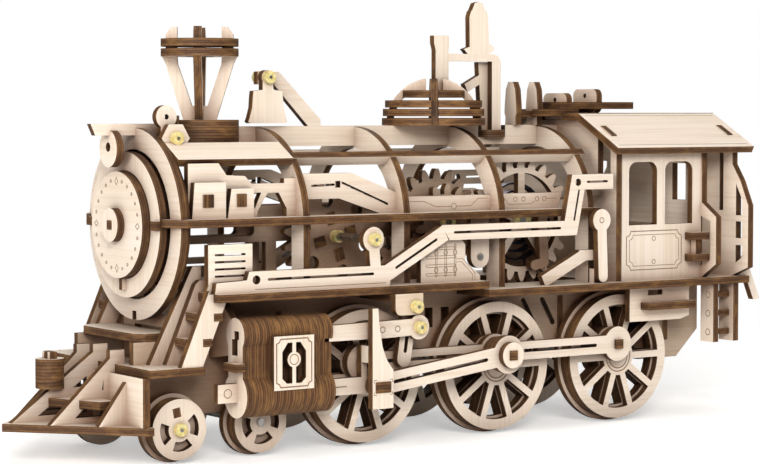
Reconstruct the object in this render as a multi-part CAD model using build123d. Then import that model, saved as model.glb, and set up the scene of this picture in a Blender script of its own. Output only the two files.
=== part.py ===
from build123d import *
import os
from math import acos, atan2, cos, degrees, hypot, pi, radians, sin, sqrt, tan

# Laser-cut plywood model locomotive, in millimetres.
# X runs along the model: chimney end at -X, cab end at +X. Z is up.
# Origin: middle driving axle centre line, on the rail-head plane.

PLY = 3.0

# Wheels
DRIVER_R = 26.0
DRIVER_PITCH = 64.0
BOGIE_R = 11.4
FLANGE_EXTRA = 1.5
BOGIE_X = (-146.8, -111.8)
BOGIE_SECTOR = radians(31)
WHEEL_FACE = 35.0
CRANK_R = 8.0
CRANK_ANGLE = radians(131)
CRANK_X = CRANK_R * cos(CRANK_ANGLE)
CRANK_Z = DRIVER_R + CRANK_R * sin(CRANK_ANGLE)
AXLE_R = 2.0
PIN_R = 1.6
TIP_R = 0.65
CAP_R = 2.5
RUN_GAP = 0.08

# Lanes across the width: distance of each plate's outer face from the centre plane
FRAME_LANE = 24.0
SIDE_ROD_LANE = 41.0
LINK_LANE = 45.6
MAIN_ROD_LANE = 50.0
CROSSHEAD_LANE = 54.0
CAB_LANE = 40.5
PANEL_LANE = 31.0
GEAR_LANES = (20.0, 16.0, 12.0)
GEAR_FRAME_LANE = 8.0
RAIL_LANE = 43.2
ARBOR_END = 21.4

# Running boards
FRONT_BOARD_TOP = 61.5
REAR_BOARD_TOP = 58.0
BOARD_SPLIT_X = -12.0
BOARD_HALF = 46.0
BOARD_INNER = 21.0

# Boiler
BOILER_Z = 86.0
BOILER_R = 36.5
BOILER_BORE = 28.0
RING_X = (-93.4, -46.8, 0.0, 46.3)
SMOKEBOX_X = -146.6
DOOR_RING_X = -150.6
DIAL_X = -154.0
STRIP_Z = 86.0
SPINE_X0 = -101.0
SHELF_TOP = 113.6
SHELF_HALF = 18.2
ROOF_PLATE = ((29.5, 111.0), (18.8, 117.1))
SPINE_TOP = 123.0

# Cylinders
CYL_Y = 43.5
CYL_X0 = -127.8
CYL_SLICES = 13
VALVE_Z = 46.0
PISTON_Z = 24.0

# Gears
MODULE = 2.0
PRESSURE = radians(25)
ADDENDUM = 0.8 * MODULE
DEDENDUM = 1.2 * MODULE
BACKLASH = 0.5

# Start lever
LEVER_PIVOT = (48.1, 60.8)
LEVER_LANE = 44.2

# Mainspring
SPRING_TURNS = 4
SPRING_INNER = 4.0
SPRING_OUTER = 17.3
SPRING_STRIP = 0.65
SPRING_WIDTH = 4.2

# Cab
CAB_FRONT_X = 57.5
CAB_MID_X = 105.0
CAB_FRONT_WINDOW = ((-37.3, 102.8), (-29.0, 102.8), (-29.0, 117.6), (-37.3, 112.4))
CAB_EAVE_Z = 113.7
CAB_EAVE_HALF = 46.4
CAB_TOP_Z = 128.0
CAB_TOP_HALF = 20.0
ROOF_X = (54.0, 130.0)

# Running board ends
BOARD_FRONT_X = -136.2
BOARD_REAR_X = 128.2


# ---------- sketch and plate helpers ----------

def poly(*points):
    return make_face(Polyline(*points, close=True))


def disc(radius, x=0.0, y=0.0):
    return Pos(x, y) * Circle(radius)


def bar(x0, y0, x1, y1):
    return Pos((x0 + x1) / 2, (y0 + y1) / 2) * Rectangle(abs(x1 - x0), abs(y1 - y0))


def round_bar(x0, y0, x1, y1, radius):
    return Pos((x0 + x1) / 2, (y0 + y1) / 2) * RectangleRounded(abs(x1 - x0), abs(y1 - y0), radius)


def strut(start, end, width):
    """Straight bar with square ends between two points."""
    length = hypot(end[0] - start[0], end[1] - start[1])
    angle = degrees(atan2(end[1] - start[1], end[0] - start[0]))
    middle = Pos((start[0] + end[0]) / 2, (start[1] + end[1]) / 2)
    return middle * Rot(0, 0, angle) * Rectangle(length, width)


def slit(start, end, width):
    """Round-ended slot between two centres."""
    length = hypot(end[0] - start[0], end[1] - start[1])
    angle = degrees(atan2(end[1] - start[1], end[0] - start[0]))
    middle = Pos((start[0] + end[0]) / 2, (start[1] + end[1]) / 2)
    return middle * Rot(0, 0, angle) * SlotCenterToCenter(length, width)


def side_plate(face, outer, thick=PLY):
    """Plate in the X-Z plane on the -Y side; outer face at y = -outer."""
    plane = Plane(origin=(0, thick - outer, 0), x_dir=(1, 0, 0), z_dir=(0, -1, 0))
    return extrude(plane * face, amount=thick, dir=(0, -1, 0))


def cross_plate(face, x0, thick=PLY):
    """Plate in the Y-Z plane with its front face at x0."""
    plane = Plane(origin=(x0, 0, 0), x_dir=(0, 1, 0), z_dir=(1, 0, 0))
    return extrude(plane * face, amount=thick, dir=(1, 0, 0))


def flat_plate(face, z0, thick=PLY):
    """Horizontal plate with its underside at z0."""
    return extrude(Pos(0, 0, z0) * face, amount=thick, dir=(0, 0, 1))


def mid_plate(face, thick=PLY):
    """Plate in the X-Z plane centred on the centre plane."""
    return side_plate(face, thick / 2, thick)


def turned_plate(face, x, angle, thick=PLY):
    """Upright plate centred on a vertical axis at x, turned about it; face is (across, z)."""
    plane = Plane(origin=(0, thick / 2, 0), x_dir=(1, 0, 0), z_dir=(0, -1, 0))
    plate = extrude(plane * face, amount=thick, dir=(0, -1, 0))
    return Pos(x, 0, 0) * Rot(0, 0, angle) * plate


def far(*shapes):
    return [mirror(shape, about=Plane.XZ) for shape in shapes]


def pair(*shapes):
    return list(shapes) + far(*shapes)


def rod_y(x, z, radius, y0, y1):
    """Round pin along Y between two planes."""
    plane = Plane(origin=(x, min(y0, y1), z), x_dir=(1, 0, 0), z_dir=(0, 1, 0))
    return extrude(plane * Circle(radius), amount=abs(y1 - y0), dir=(0, 1, 0))


def block(x0, x1, y0, y1, z0, z1):
    return Pos((x0 + x1) / 2, (y0 + y1) / 2, (z0 + z1) / 2) * Box(abs(x1 - x0), abs(y1 - y0), abs(z1 - z0))


def solids_of(shapes):
    found = []
    for shape in shapes:
        found.extend(shape.solids())
    return found


def cut(shapes, tools):
    """Take every tool away from every shape, as separate solids."""
    result = []
    for shape in solids_of(shapes):
        box = shape.bounding_box()
        for tool in tools:
            other = tool.bounding_box()
            if box.min.X < other.max.X and other.min.X < box.max.X \
                    and box.min.Y < other.max.Y and other.min.Y < box.max.Y \
                    and box.min.Z < other.max.Z and other.min.Z < box.max.Z:
                shape = shape - tool
        result.extend(shape.solids())
    return result


def write(name, shapes):
    export_step(Compound(children=solids_of(shapes)), "parts/" + name + ".step")


# ---------- gears ----------

def involute(angle):
    return tan(angle) - angle


def gear_face(teeth, phase, x, z):
    """Spur gear outline with a tooth centred on the phase angle."""
    pitch_r = MODULE * teeth / 2
    base_r = pitch_r * cos(PRESSURE)
    root_r = pitch_r - DEDENDUM
    tip_r = pitch_r + ADDENDUM
    half_pitch = (pi * MODULE - BACKLASH) / 4 / pitch_r
    flank = []
    for step in range(5):
        radius = max(root_r, base_r) + (tip_r - max(root_r, base_r)) * step / 4
        lean = half_pitch + involute(PRESSURE) - involute(acos(min(1.0, base_r / radius)))
        flank.append((radius, lean))
    foot = (root_r, flank[0][1])
    points = []
    for tooth in range(teeth):
        centre = phase + 2 * pi * tooth / teeth
        outline = [(foot[0], -foot[1])] + [(r, -a) for r, a in flank]
        outline += [(r, a) for r, a in reversed(flank)] + [foot]
        for radius, offset in outline:
            points.append((x + radius * cos(centre + offset), z + radius * sin(centre + offset)))
    kept = [points[0]]
    for point in points[1:]:
        if hypot(point[0] - kept[-1][0], point[1] - kept[-1][1]) > 0.02:
            kept.append(point)
    return poly(*kept)


def meshing_phase(driver, driven):
    """Phase for the driven (x, z, teeth) gear that meets the driver (x, z, teeth, phase)."""
    x1, z1, n1, phase1 = driver
    x2, z2, n2 = driven
    line = atan2(z2 - z1, x2 - x1)
    met = (line - phase1) * n1 / (2 * pi)
    return line + pi - (0.5 - met) * 2 * pi / n2


AXLE_GEAR = (0.0, DRIVER_R, 16, 0.0)
LOW_X = -26.0
LOW_Z = DRIVER_R + sqrt(40.0 ** 2 - LOW_X ** 2)
DISC_X = -65.7
DISC_Z = LOW_Z + sqrt(46.0 ** 2 - (DISC_X - LOW_X) ** 2)
SECOND_X = -14.0
SECOND_Z = LOW_Z + sqrt(30.0 ** 2 - (SECOND_X - LOW_X) ** 2)
SPRING_X = SECOND_X + 38.0
SPRING_Z = SECOND_Z
PAWL_PIVOT = (31.0, 91.8)
LOW_GEAR = (LOW_X, LOW_Z, 24, meshing_phase(AXLE_GEAR, (LOW_X, LOW_Z, 24)))
DISC_GEAR = (DISC_X, DISC_Z, 22, meshing_phase(LOW_GEAR, (DISC_X, DISC_Z, 22)))
LOW_PINION = (LOW_X, LOW_Z, 10, 0.1)
SECOND_GEAR = (SECOND_X, SECOND_Z, 20, meshing_phase(LOW_PINION, (SECOND_X, SECOND_Z, 20)))
SECOND_PINION = (SECOND_X, SECOND_Z, 14, 0.2)
SPRING_GEAR = (SPRING_X, SPRING_Z, 24, meshing_phase(SECOND_PINION, (SPRING_X, SPRING_Z, 24)))
ARBORS = ((LOW_X, LOW_Z), (DISC_X, DISC_Z), (SECOND_X, SECOND_Z), (SPRING_X, SPRING_Z))


def gear_blank(gear):
    x, z, teeth, phase = gear
    return gear_face(teeth, phase, x, z) - disc(PIN_R, x, z)


def arbor(x, z, end=ARBOR_END):
    """Steel arbor through both inner plates."""
    return rod_y(x, z, PIN_R, -end, GEAR_FRAME_LANE + 1.5)


def push_cap(x, z, radius, y0, y1, pin_radius=PIN_R):
    return rod_y(x, z, radius, y0, y1) - rod_y(x, z, pin_radius, y0, y1)


def tipped_pin(x, z, start, face, end):
    """Steel pin that necks down to a thin tip inside its push-on cap."""
    return rod_y(x, z, PIN_R, start, face) + rod_y(x, z, TIP_R, face, end)


def build_gears():
    x, z, teeth, phase = LOW_GEAR
    windows = [slit((x + 13 * cos(a), z + 13 * sin(a)), (x + 18 * cos(a), z + 18 * sin(a)), 4.5)
               for a in [phase + pi * k / 4 for k in range(8)]]
    low = gear_blank(LOW_GEAR)
    for window in windows:
        low -= window
    low_collar = push_cap(x, z, 6.0, -GEAR_LANES[1] + PLY, -GEAR_LANES[2])
    write("gear_lower", [side_plate(low, GEAR_LANES[1]), side_plate(gear_blank(LOW_PINION), GEAR_LANES[2]),
                         low_collar, arbor(x, z, FRAME_LANE - PLY - 0.2)])

    x, z, teeth, phase = DISC_GEAR
    face = gear_blank(DISC_GEAR)
    cheek = disc(10.6, x, z) - disc(PIN_R, x, z)
    tenons = []
    for k in range(4):
        a = radians(90 * k + 15)
        hole = Pos(x + 7.4 * cos(a), z + 7.4 * sin(a)) * Rot(0, 0, degrees(a)) * Rectangle(4.8, 4.0)
        face -= hole
        cheek -= hole
        tenons.append(side_plate(hole, GEAR_LANES[1] + 0.6, 2 * PLY + 1.0))
    for k in range(6):
        a = radians(60 * k + 45)
        face -= disc(2.8, x + 14.6 * cos(a), z + 14.6 * sin(a))
    cap = push_cap(x, z, CAP_R, -19.4, -GEAR_LANES[1])
    outer_cap = push_cap(x, z, CAP_R, -RAIL_LANE - 2.2, -RAIL_LANE - 0.1, TIP_R)
    shaft = tipped_pin(x, z, GEAR_FRAME_LANE + 1.5, -RAIL_LANE - 0.1, -RAIL_LANE - 2.5)
    write("gear_disc", [side_plate(face, GEAR_LANES[1]), side_plate(cheek, GEAR_LANES[1] - PLY - 0.4)]
          + tenons + [cap, outer_cap, shaft])

    x, z, teeth, phase = SECOND_GEAR
    face = gear_blank(SECOND_GEAR)
    for k in range(5):
        a = radians(72 * k)
        face -= disc(3.6, x + 12 * cos(a), z + 12 * sin(a))
    hub = push_cap(x, z, 4.0, -GEAR_LANES[0] + PLY, -GEAR_LANES[2])
    write("gear_second", [side_plate(face, GEAR_LANES[2]),
                          side_plate(gear_blank(SECOND_PINION), GEAR_LANES[0]),
                          hub, push_cap(x, z, 3.4, -21.3, -GEAR_LANES[0]), arbor(x, z)])

    x, z, teeth, phase = SPRING_GEAR
    wheel = gear_blank(SPRING_GEAR) - (disc(19.5, x, z) - disc(5.5, x, z))
    for k in range(5):
        a = radians(90 + 72 * k)
        wheel += strut((x + 4.5 * cos(a), z + 4.5 * sin(a)), (x + 20.2 * cos(a), z + 20.2 * sin(a)), 3.4)
    hub = push_cap(x, z, 3.6, -GEAR_LANES[0] + PLY, -GEAR_FRAME_LANE - 0.3)
    write("gear_spring", [side_plate(wheel, GEAR_LANES[0]), hub,
                          push_cap(x, z, 4.0, -21.3, -GEAR_LANES[0]), arbor(x, z)])

    # flat spiral spring inside the big wheel, hooked on the hub
    inner_face = []
    outer_face = []
    for step in range(SPRING_TURNS * 24 + 1):
        radius = SPRING_INNER + (SPRING_OUTER - SPRING_INNER) * step / (SPRING_TURNS * 24)
        angle = 2 * pi * step / 24
        for face, grow in ((inner_face, 0.0), (outer_face, SPRING_STRIP)):
            face.append((x + (radius + grow) * cos(angle), z + (radius + grow) * sin(angle)))
    ribbon = poly(*(inner_face + outer_face[::-1]))
    write("mainspring", [side_plate(ribbon, 16.6, SPRING_WIDTH)])


def build_pawl():
    """Hooked lever hanging from a pin behind the rear bay panel."""
    x, z = PAWL_PIVOT
    lever = disc(3.6, x, z) + slit((x, z), (x + 1.4, 66.5), 4.6) + slit((x + 1.2, 66.0), (x - 3.6, 65.2), 4.2)
    write("pawl", [side_plate(lever - disc(PIN_R + RUN_GAP, x, z), 25.0)])
    return rod_y(x, z, PIN_R, PLY - PANEL_LANE, -21.8)


# ---------- wheels and rods ----------

def spoked_face(x, z, rim, outer, spokes, hub, spoke_width, turn=0.0):
    face = disc(outer, x, z) - (disc(outer - rim, x, z) - disc(hub, x, z))
    for k in range(spokes):
        a = turn + 2 * pi * k / spokes
        face += strut((x + (hub - 1) * cos(a), z + (hub - 1) * sin(a)),
                      (x + (outer - rim + 0.8) * cos(a), z + (outer - rim + 0.8) * sin(a)), spoke_width)
    return face - disc(AXLE_R, x, z)


def driving_wheel(x):
    z = DRIVER_R
    boss = slit((x, z), (x + CRANK_X, z + CRANK_Z - DRIVER_R), 13.0) - disc(AXLE_R, x, z)
    pin_hole = disc(PIN_R, x + CRANK_X, CRANK_Z)
    flange = spoked_face(x, z, 5.6, DRIVER_R + FLANGE_EXTRA, 10, 8.5, 3.2) + boss - pin_hole
    middle = spoked_face(x, z, 5.2, DRIVER_R, 10, 8.5, 3.2) + boss - pin_hole
    outer = spoked_face(x, z, 4.2, DRIVER_R, 10, 8.0, 2.8) + boss - pin_hole
    return [side_plate(outer, WHEEL_FACE), side_plate(middle, WHEEL_FACE - PLY),
            side_plate(flange, WHEEL_FACE - 2 * PLY)]


def build_driving_wheelset(name, x, pin_end):
    wheels = pair(*driving_wheel(x))
    cx = x + CRANK_X
    washers = [push_cap(cx, CRANK_Z, 5.5, -WHEEL_FACE - PLY + 0.1, -WHEEL_FACE)]
    axle = [rod_y(x, DRIVER_R, AXLE_R, -WHEEL_FACE - 0.6, WHEEL_FACE + 0.6)]
    pin = rod_y(cx, CRANK_Z, PIN_R, -WHEEL_FACE + 2 * PLY, -pin_end)
    if name == "middle":
        washers.append(push_cap(cx, CRANK_Z, 6.6, -SIDE_ROD_LANE - 2.8, -SIDE_ROD_LANE - 0.2))
        washers.append(push_cap(cx, CRANK_Z, 7.0, -MAIN_ROD_LANE + PLY + 0.2, -SIDE_ROD_LANE - 2.9))
        key = side_plate(bar(cx - 1.9, CRANK_Z - 1.9, cx + 1.9, CRANK_Z + 1.9), MAIN_ROD_LANE + 3.4, 3.2)
        washers.append(rod_y(cx, CRANK_Z, 5.2, -MAIN_ROD_LANE - 3.0, -MAIN_ROD_LANE - 0.2) - key)
        pin = pin - key
        axle += pair(pin, key)
        gear = side_plate(gear_face(AXLE_GEAR[2], AXLE_GEAR[3], 0, DRIVER_R) - disc(AXLE_R, 0, DRIVER_R),
                          GEAR_LANES[1])
        wheels.append(gear)
        wheels += pair(*washers)
    else:
        key = bar(cx - 1.9, CRANK_Z - 1.9, cx + 1.9, CRANK_Z + 1.9)
        washers.append(side_plate(key, pin_end + 1.2, 1.2))
        axle += pair(pin)
        wheels += pair(*washers)
    write("wheels_" + name, wheels)
    write("axle_" + name, axle)


def build_bogie_wheelset(name, x):
    z = BOGIE_R
    outer = disc(BOGIE_R, x, z) - disc(PIN_R, x, z)
    inner = disc(BOGIE_R + FLANGE_EXTRA, x, z) - disc(PIN_R, x, z)
    ring = disc(8.2, x, z) - disc(4.6, x, z)
    for k in range(4):
        a = radians(90 * k + 10)
        window = poly((x, z), (x + 14 * cos(a - BOGIE_SECTOR), z + 14 * sin(a - BOGIE_SECTOR)),
                      (x + 14 * cos(a + BOGIE_SECTOR), z + 14 * sin(a + BOGIE_SECTOR)))
        if k != 1:
            outer -= ring & window
        inner -= ring & window
    key = Pos(x + 6.4 * cos(radians(100)), z + 6.4 * sin(radians(100))) * Rot(0, 0, 10) * Rectangle(3.2, 3.6)
    outer -= key
    tenon = side_plate(key, WHEEL_FACE, PLY)
    middle = disc(BOGIE_R, x, z) - disc(PIN_R, x, z)
    pieces = pair(side_plate(outer, WHEEL_FACE), side_plate(middle, WHEEL_FACE - PLY),
                  side_plate(inner, WHEEL_FACE - 2 * PLY), tenon)
    if name == "leading":
        pieces += pair(push_cap(x, z, CAP_R, -WHEEL_FACE - 1.8, -WHEEL_FACE, TIP_R),
                       tipped_pin(x, z, -WHEEL_FACE + 3 * PLY, -WHEEL_FACE, -WHEEL_FACE - 2.1))
        pieces.append(rod_y(x, z, PIN_R, -WHEEL_FACE + 3 * PLY, WHEEL_FACE - 3 * PLY))
    else:
        pieces.append(rod_y(x, z, PIN_R, -WHEEL_FACE - 0.5, WHEEL_FACE + 0.5))
    write("bogie_wheels_" + name, pieces)


def rod_face(x0, z0, r0, x1, z1, r1, width, hole0, hole1):
    """Connecting rod: two eyes, a straight shank and a long slot."""
    face = strut((x0, z0), (x1, z1), width) + disc(r0, x0, z0) + disc(r1, x1, z1)
    dx, dz = (x1 - x0), (z1 - z0)
    length = hypot(dx, dz)
    a, b = (r0 + 3.5) / length, 1 - (r1 + 3.5) / length
    face -= slit((x0 + a * dx, z0 + a * dz), (x0 + b * dx, z0 + b * dz), 1.4)
    if hole0:
        face -= disc(hole0, x0, z0)
    if hole1:
        face -= disc(hole1, x1, z1)
    return face


ROD_LENGTH = 62.7
ROD_END_X = CRANK_X - ROD_LENGTH
ROD_END_Z = PISTON_Z


def build_rods():
    hole = PIN_R + RUN_GAP
    pins = [(x + CRANK_X, CRANK_Z) for x in (-DRIVER_PITCH, 0, DRIVER_PITCH)]
    whole = disc(7.2, *pins[0]) + disc(7.6, *pins[1]) + disc(7.2, *pins[2])
    whole += strut(pins[0], pins[1], 7.4) + strut(pins[1], pins[2], 7.4)
    front_cut = bar(-200, 0, pins[1][0] - 10.0, 100)
    for x0, x1 in ((pins[0][0] + 12, pins[1][0] - 13), (pins[1][0] + 12, pins[2][0] - 12)):
        whole -= slit((x0, CRANK_Z), (x1, CRANK_Z), 1.4)
    for pin in pins:
        whole -= disc(hole, *pin)
    front = whole & front_cut
    rear = whole - front_cut
    write("side_rods", pair(side_plate(front, SIDE_ROD_LANE), side_plate(rear, SIDE_ROD_LANE)))
    main = rod_face(ROD_END_X, ROD_END_Z, 4.2, CRANK_X, CRANK_Z, 7.6, 8.0, None, hole)
    write("main_rods", pair(side_plate(main, MAIN_ROD_LANE)))


def build_crosshead():
    z = PISTON_Z
    slide_lane = CYL_Y + PLY / 2
    bar_face = bar(-112, z - 3.2, ROD_END_X + 4, z + 3.2)
    left = ROD_END_X - 5.5
    riser = bar(left + 0.2, z - 3.2, left + 2.8, 39.5)
    rod = side_plate(bar_face + riser, slide_lane + 1.0)
    taper = poly((left, 15.5), (left, 54.0), (left + 2.6, 54.0), (left + 3.0, 48.0), (left + 4.6, 39.0),
                 (left + 6.6, 34.0), (left + 9.6, 30.0), (left + 9.6, 15.5))
    key = bar(left + 1.4, 21.6, left + 8.4, 25.8)
    plate = side_plate(taper - key, CROSSHEAD_LANE)
    tenon = side_plate(key, CROSSHEAD_LANE + 0.3, PLY + 0.2)
    spacer = side_plate(bar(left + 0.2, 33.0, left + 2.8, 39.5), CROSSHEAD_LANE - PLY,
                        CROSSHEAD_LANE - PLY - slide_lane - 1.0)
    write("crossheads", pair(rod, plate, tenon, spacer))


VALVE_EYE = (-48.4, 45.3)
LINK_PIVOT = (-50.0, 53.4)


def build_valve_gear():
    x, z = VALVE_EYE
    lane = MAIN_ROD_LANE - 0.9
    arm = (poly((-90, 42.0), (-90, 48.0), (x - 3, z + 3.4), (x - 3, z - 3.0), (x - 14, z - 3.4))
           + disc(4.8, x, z))
    arm -= disc(PIN_R, x, z)
    cap = push_cap(x, z, CAP_R, -lane - 2.0, -lane, TIP_R)
    pin = tipped_pin(x, z, -lane + PLY, -lane, -lane - 2.4)
    write("valve_rods", pair(side_plate(arm, lane), cap, pin))
    lx, lz = LINK_PIVOT
    low = (lx - 3.0, 33.0)
    link = slit((lx, lz), low, 6.4) - disc(PIN_R, lx, lz)
    link -= slit((lx - 1.2, 44.5), (low[0] + 0.5, low[1] + 3.0), 1.6)
    near = side_plate(link, LINK_LANE)
    link_cap = push_cap(lx, lz, CAP_R, -LINK_LANE - 5.6, -LINK_LANE - 3.5, TIP_R)
    stub = tipped_pin(lx, lz, -LINK_LANE + PLY, -LINK_LANE - 3.5, -LINK_LANE - 6.0)
    write("valve_links", pair(near, stub, link_cap))


# ---------- frames and boards ----------

def frame_face():
    front_seat = FRONT_BOARD_TOP - PLY
    rear_seat = REAR_BOARD_TOP - PLY
    outline = poly((-160, 32), (-160, 43.4), (-143, 43.4), (-138, 54), (-138, front_seat),
                   (BOARD_SPLIT_X, front_seat), (BOARD_SPLIT_X, rear_seat), (118, rear_seat),
                   (118, 34), (106, 22.5), (84, 22.5), (80, 34), (-84, 34), (-90, 26), (-104, 15),
                   (-152, 15), (-154, 30), (-158, 32))
    for x in (-DRIVER_PITCH, 0, DRIVER_PITCH):
        outline += disc(9.0, x, DRIVER_R)
        outline += bar(x - 9, DRIVER_R, x + 9, 40)
        outline -= disc(AXLE_R + RUN_GAP, x, DRIVER_R)
    for x in BOGIE_X:
        outline += disc(6.0, x, BOGIE_R)
        outline += bar(x - 6, BOGIE_R, x + 6, 20)
        outline -= disc(PIN_R + RUN_GAP, x, BOGIE_R)
    for x in (22.0, 32.0):
        outline -= slit((x, 50.5), (x + 5.5, 41.0), 2.4)
    for x in (-28.0, -20.0):
        outline -= bar(x, 42, x + 4, 50)
    outline -= round_bar(-118, 34, -100, 44, 2)
    return outline


TIE_X = (-140.0, -98.5, 40.0, 98.0)
TIE_TOP = 52.0


def build_frames():
    frame = side_plate(frame_face(), FRAME_LANE)
    ties = []
    for x in TIE_X:
        foot = 34.0 if x == TIE_X[0] else 30.0
        tie = bar(-FRAME_LANE, foot, FRAME_LANE, TIE_TOP) - bar(-12, 36, 12, TIE_TOP - 5)
        ties.append(cross_plate(tie, x))
    frames = cut(pair(frame), ties)
    write("main_frames", frames)
    write("frame_ties", ties)
    return frames


def build_gear_frames():
    outline = bar(-140.6, 78.0, CAB_FRONT_X, 92.0) + bar(-92.8, 44, -88, 92) + bar(36, 44, 48, 92)
    outline += bar(-92.8, 44, 48, 50)
    for x, z in ARBORS:
        outline += disc(8.0, x, z)
    outline += strut((LOW_X, LOW_Z), (SECOND_X, SECOND_Z), 9)
    outline += strut((LOW_X, LOW_Z), (LOW_X, 47), 9)
    outline -= round_bar(-138, 80.5, -98, 89.5, 2)
    for x, z in ARBORS:
        outline -= disc(PIN_R + RUN_GAP, x, z)
    plate = side_plate(outline, GEAR_FRAME_LANE)
    tie_tools = [block(x, x + PLY, -30, 30, 20, 60) for x in TIE_X]
    write("gear_frames", cut(pair(plate), tie_tools))


def board_shapes():
    front = bar(BOARD_FRONT_X, -BOARD_HALF, BOARD_SPLIT_X, -BOARD_INNER)
    rear = bar(BOARD_SPLIT_X, -BOARD_HALF, BOARD_REAR_X, -BOARD_INNER)
    cab_floor = bar(CAB_FRONT_X, -BOARD_INNER, BOARD_REAR_X, BOARD_INNER)
    front_solid = flat_plate(front, FRONT_BOARD_TOP - PLY)
    rear_solid = flat_plate(rear, REAR_BOARD_TOP - PLY)
    return front_solid, rear_solid, flat_plate(cab_floor, REAR_BOARD_TOP - PLY)


def horseshoe(foot_z):
    """Ring with straight legs standing on a running board."""
    face = disc(BOILER_R, 0, BOILER_Z) + bar(-BOILER_R, foot_z, BOILER_R, BOILER_Z)
    face -= disc(BOILER_BORE, 0, BOILER_Z)
    face -= bar(-BOILER_BORE, foot_z, BOILER_BORE, BOILER_Z)
    return face & bar(-60, foot_z, 60, 130)


def tilted_strip(x0, x1):
    """Long strip set on edge in a plane through the boiler axis, 45 degrees above the horizontal."""
    strip = Box(x1 - x0, 4.4, PLY)
    return Pos((x0 + x1) / 2, 0, BOILER_Z) * Rot(-45, 0, 0) * Pos(0, 1.8 - BOILER_R, 0) * strip


def build_boiler():
    strip_outline = poly((-145.6, -40), (50, -40), (52, -38), (52, -31.5), (-143.6, -31.5), (-143.6, -29.0),
                         (DOOR_RING_X, -29.0), (DOOR_RING_X, -31.5))
    strips = pair(flat_plate(strip_outline, STRIP_Z))
    stringers = pair(tilted_strip(-92.0, 52.0))
    spine_outline = (bar(SPINE_X0, SPINE_TOP - 8, CAB_FRONT_X, SPINE_TOP)
                     - bar(15.4, SPINE_TOP - 5, 29.6, SPINE_TOP))
    spine = mid_plate(spine_outline)
    shelf_x0, shelf_x1 = SMOKEBOX_X + PLY, RING_X[0]
    shelf = flat_plate(bar(shelf_x0, -SHELF_HALF, shelf_x1, SHELF_HALF), SHELF_TOP - PLY)
    rise = degrees(atan2(ROOF_PLATE[1][1] - ROOF_PLATE[0][1], ROOF_PLATE[0][0] - ROOF_PLATE[1][0]))
    width = hypot(ROOF_PLATE[1][1] - ROOF_PLATE[0][1], ROOF_PLATE[0][0] - ROOF_PLATE[1][0])
    sloped = Pos((shelf_x0 + shelf_x1) / 2, -ROOF_PLATE[0][0], ROOF_PLATE[0][1]) * Rot(rise, 0, 0) \
        * Pos(0, width / 2, -PLY / 2) * Box(shelf_x1 - shelf_x0, width, PLY)
    shelves = [shelf] + pair(sloped)
    rings = []
    for x in RING_X:
        foot = FRONT_BOARD_TOP if x < BOARD_SPLIT_X else REAR_BOARD_TOP
        rings.append(cross_plate(horseshoe(foot), x))
    slots = [block(x, x + PLY, -4, 4, 105, 119) for x in RING_X]
    spine_cut = cut([spine], slots)
    rings = cut(rings, strips + stringers + shelves + spine_cut)
    write("boiler_rings", rings)
    write("boiler_strips", strips + stringers)
    write("spine", spine_cut)
    return rings, strips, stringers, spine_cut, shelves


def build_smokebox(strips, shelves):
    ring = disc(BOILER_R, 0, BOILER_Z) - disc(28.5, 0, BOILER_Z)
    ring -= bar(-1.6, 49.5, 1.6, 53.0)
    door = disc(27.7, 0, BOILER_Z) - disc(20.6, 0, BOILER_Z)
    back = disc(33.0, 0, BOILER_Z) - disc(12, 0, BOILER_Z)
    for k in range(16):
        a = radians(22.5 * k + 11)
        back -= Pos(26.4 * cos(a), BOILER_Z + 26.4 * sin(a)) * Rot(0, 0, degrees(a)) * Rectangle(4.0, 6.4)
    inner_back = disc(24.0, 0, BOILER_Z) - disc(4, 0, BOILER_Z)
    for k in range(12):
        a = radians(30 * k + 10)
        inner_back -= (Pos(18.8 * cos(a), BOILER_Z + 18.8 * sin(a)) * Rot(0, 0, degrees(a))
                       * Rectangle(4.0, 5.6))
    big = cross_plate(ring, SMOKEBOX_X)
    small = cross_plate(door, DOOR_RING_X)
    outer_backing = cross_plate(back, SMOKEBOX_X + PLY)
    inner_backing = cross_plate(inner_back, DOOR_RING_X + PLY, SMOKEBOX_X - DOOR_RING_X)
    rings = cut([big, small, outer_backing, inner_backing], strips + shelves)
    write("smokebox_rings", rings)
    dial = disc(20.2, 0, BOILER_Z) - Pos(0, BOILER_Z) * Rectangle(3.4, 3.4)
    boss = disc(6.4, 0, BOILER_Z) - Pos(0, BOILER_Z) * Rectangle(3.4, 3.4)
    shaft = Pos(0, BOILER_Z) * Rectangle(3.4, 3.4)
    studs = []
    for y, z, width, height in ((25.8, BOILER_Z + 0.5, 4.4, 3.4), (-25.8, BOILER_Z + 0.5, 4.4, 3.4),
                                (0, BOILER_Z - 22.6, 2.6, 4.4)):
        studs.append(cross_plate(Pos(y, z) * Rectangle(width, height), DOOR_RING_X - 1.8, 1.8))
    write("smokebox_door", [cross_plate(dial, DIAL_X, DOOR_RING_X - DIAL_X), cross_plate(boss, DIAL_X - PLY),
                            cross_plate(shaft, DIAL_X - PLY - 0.3, PLY + 0.3 + 3.0)] + studs)
    return rings


LAMP_X = -157.4
LAMP_Z = 114.8


def build_headlamp():
    shell = disc(7.0, 0, LAMP_Z) - disc(1.8, 0, LAMP_Z + 0.6)
    arm = poly((-163.5, 119.8), (-165.5, 124.2), (-133.2, 124.2), (-133.2, SHELF_TOP), (-140.5, SHELF_TOP),
               (-143.2, 119.8))
    return [cross_plate(shell, LAMP_X)], mid_plate(arm)


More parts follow.
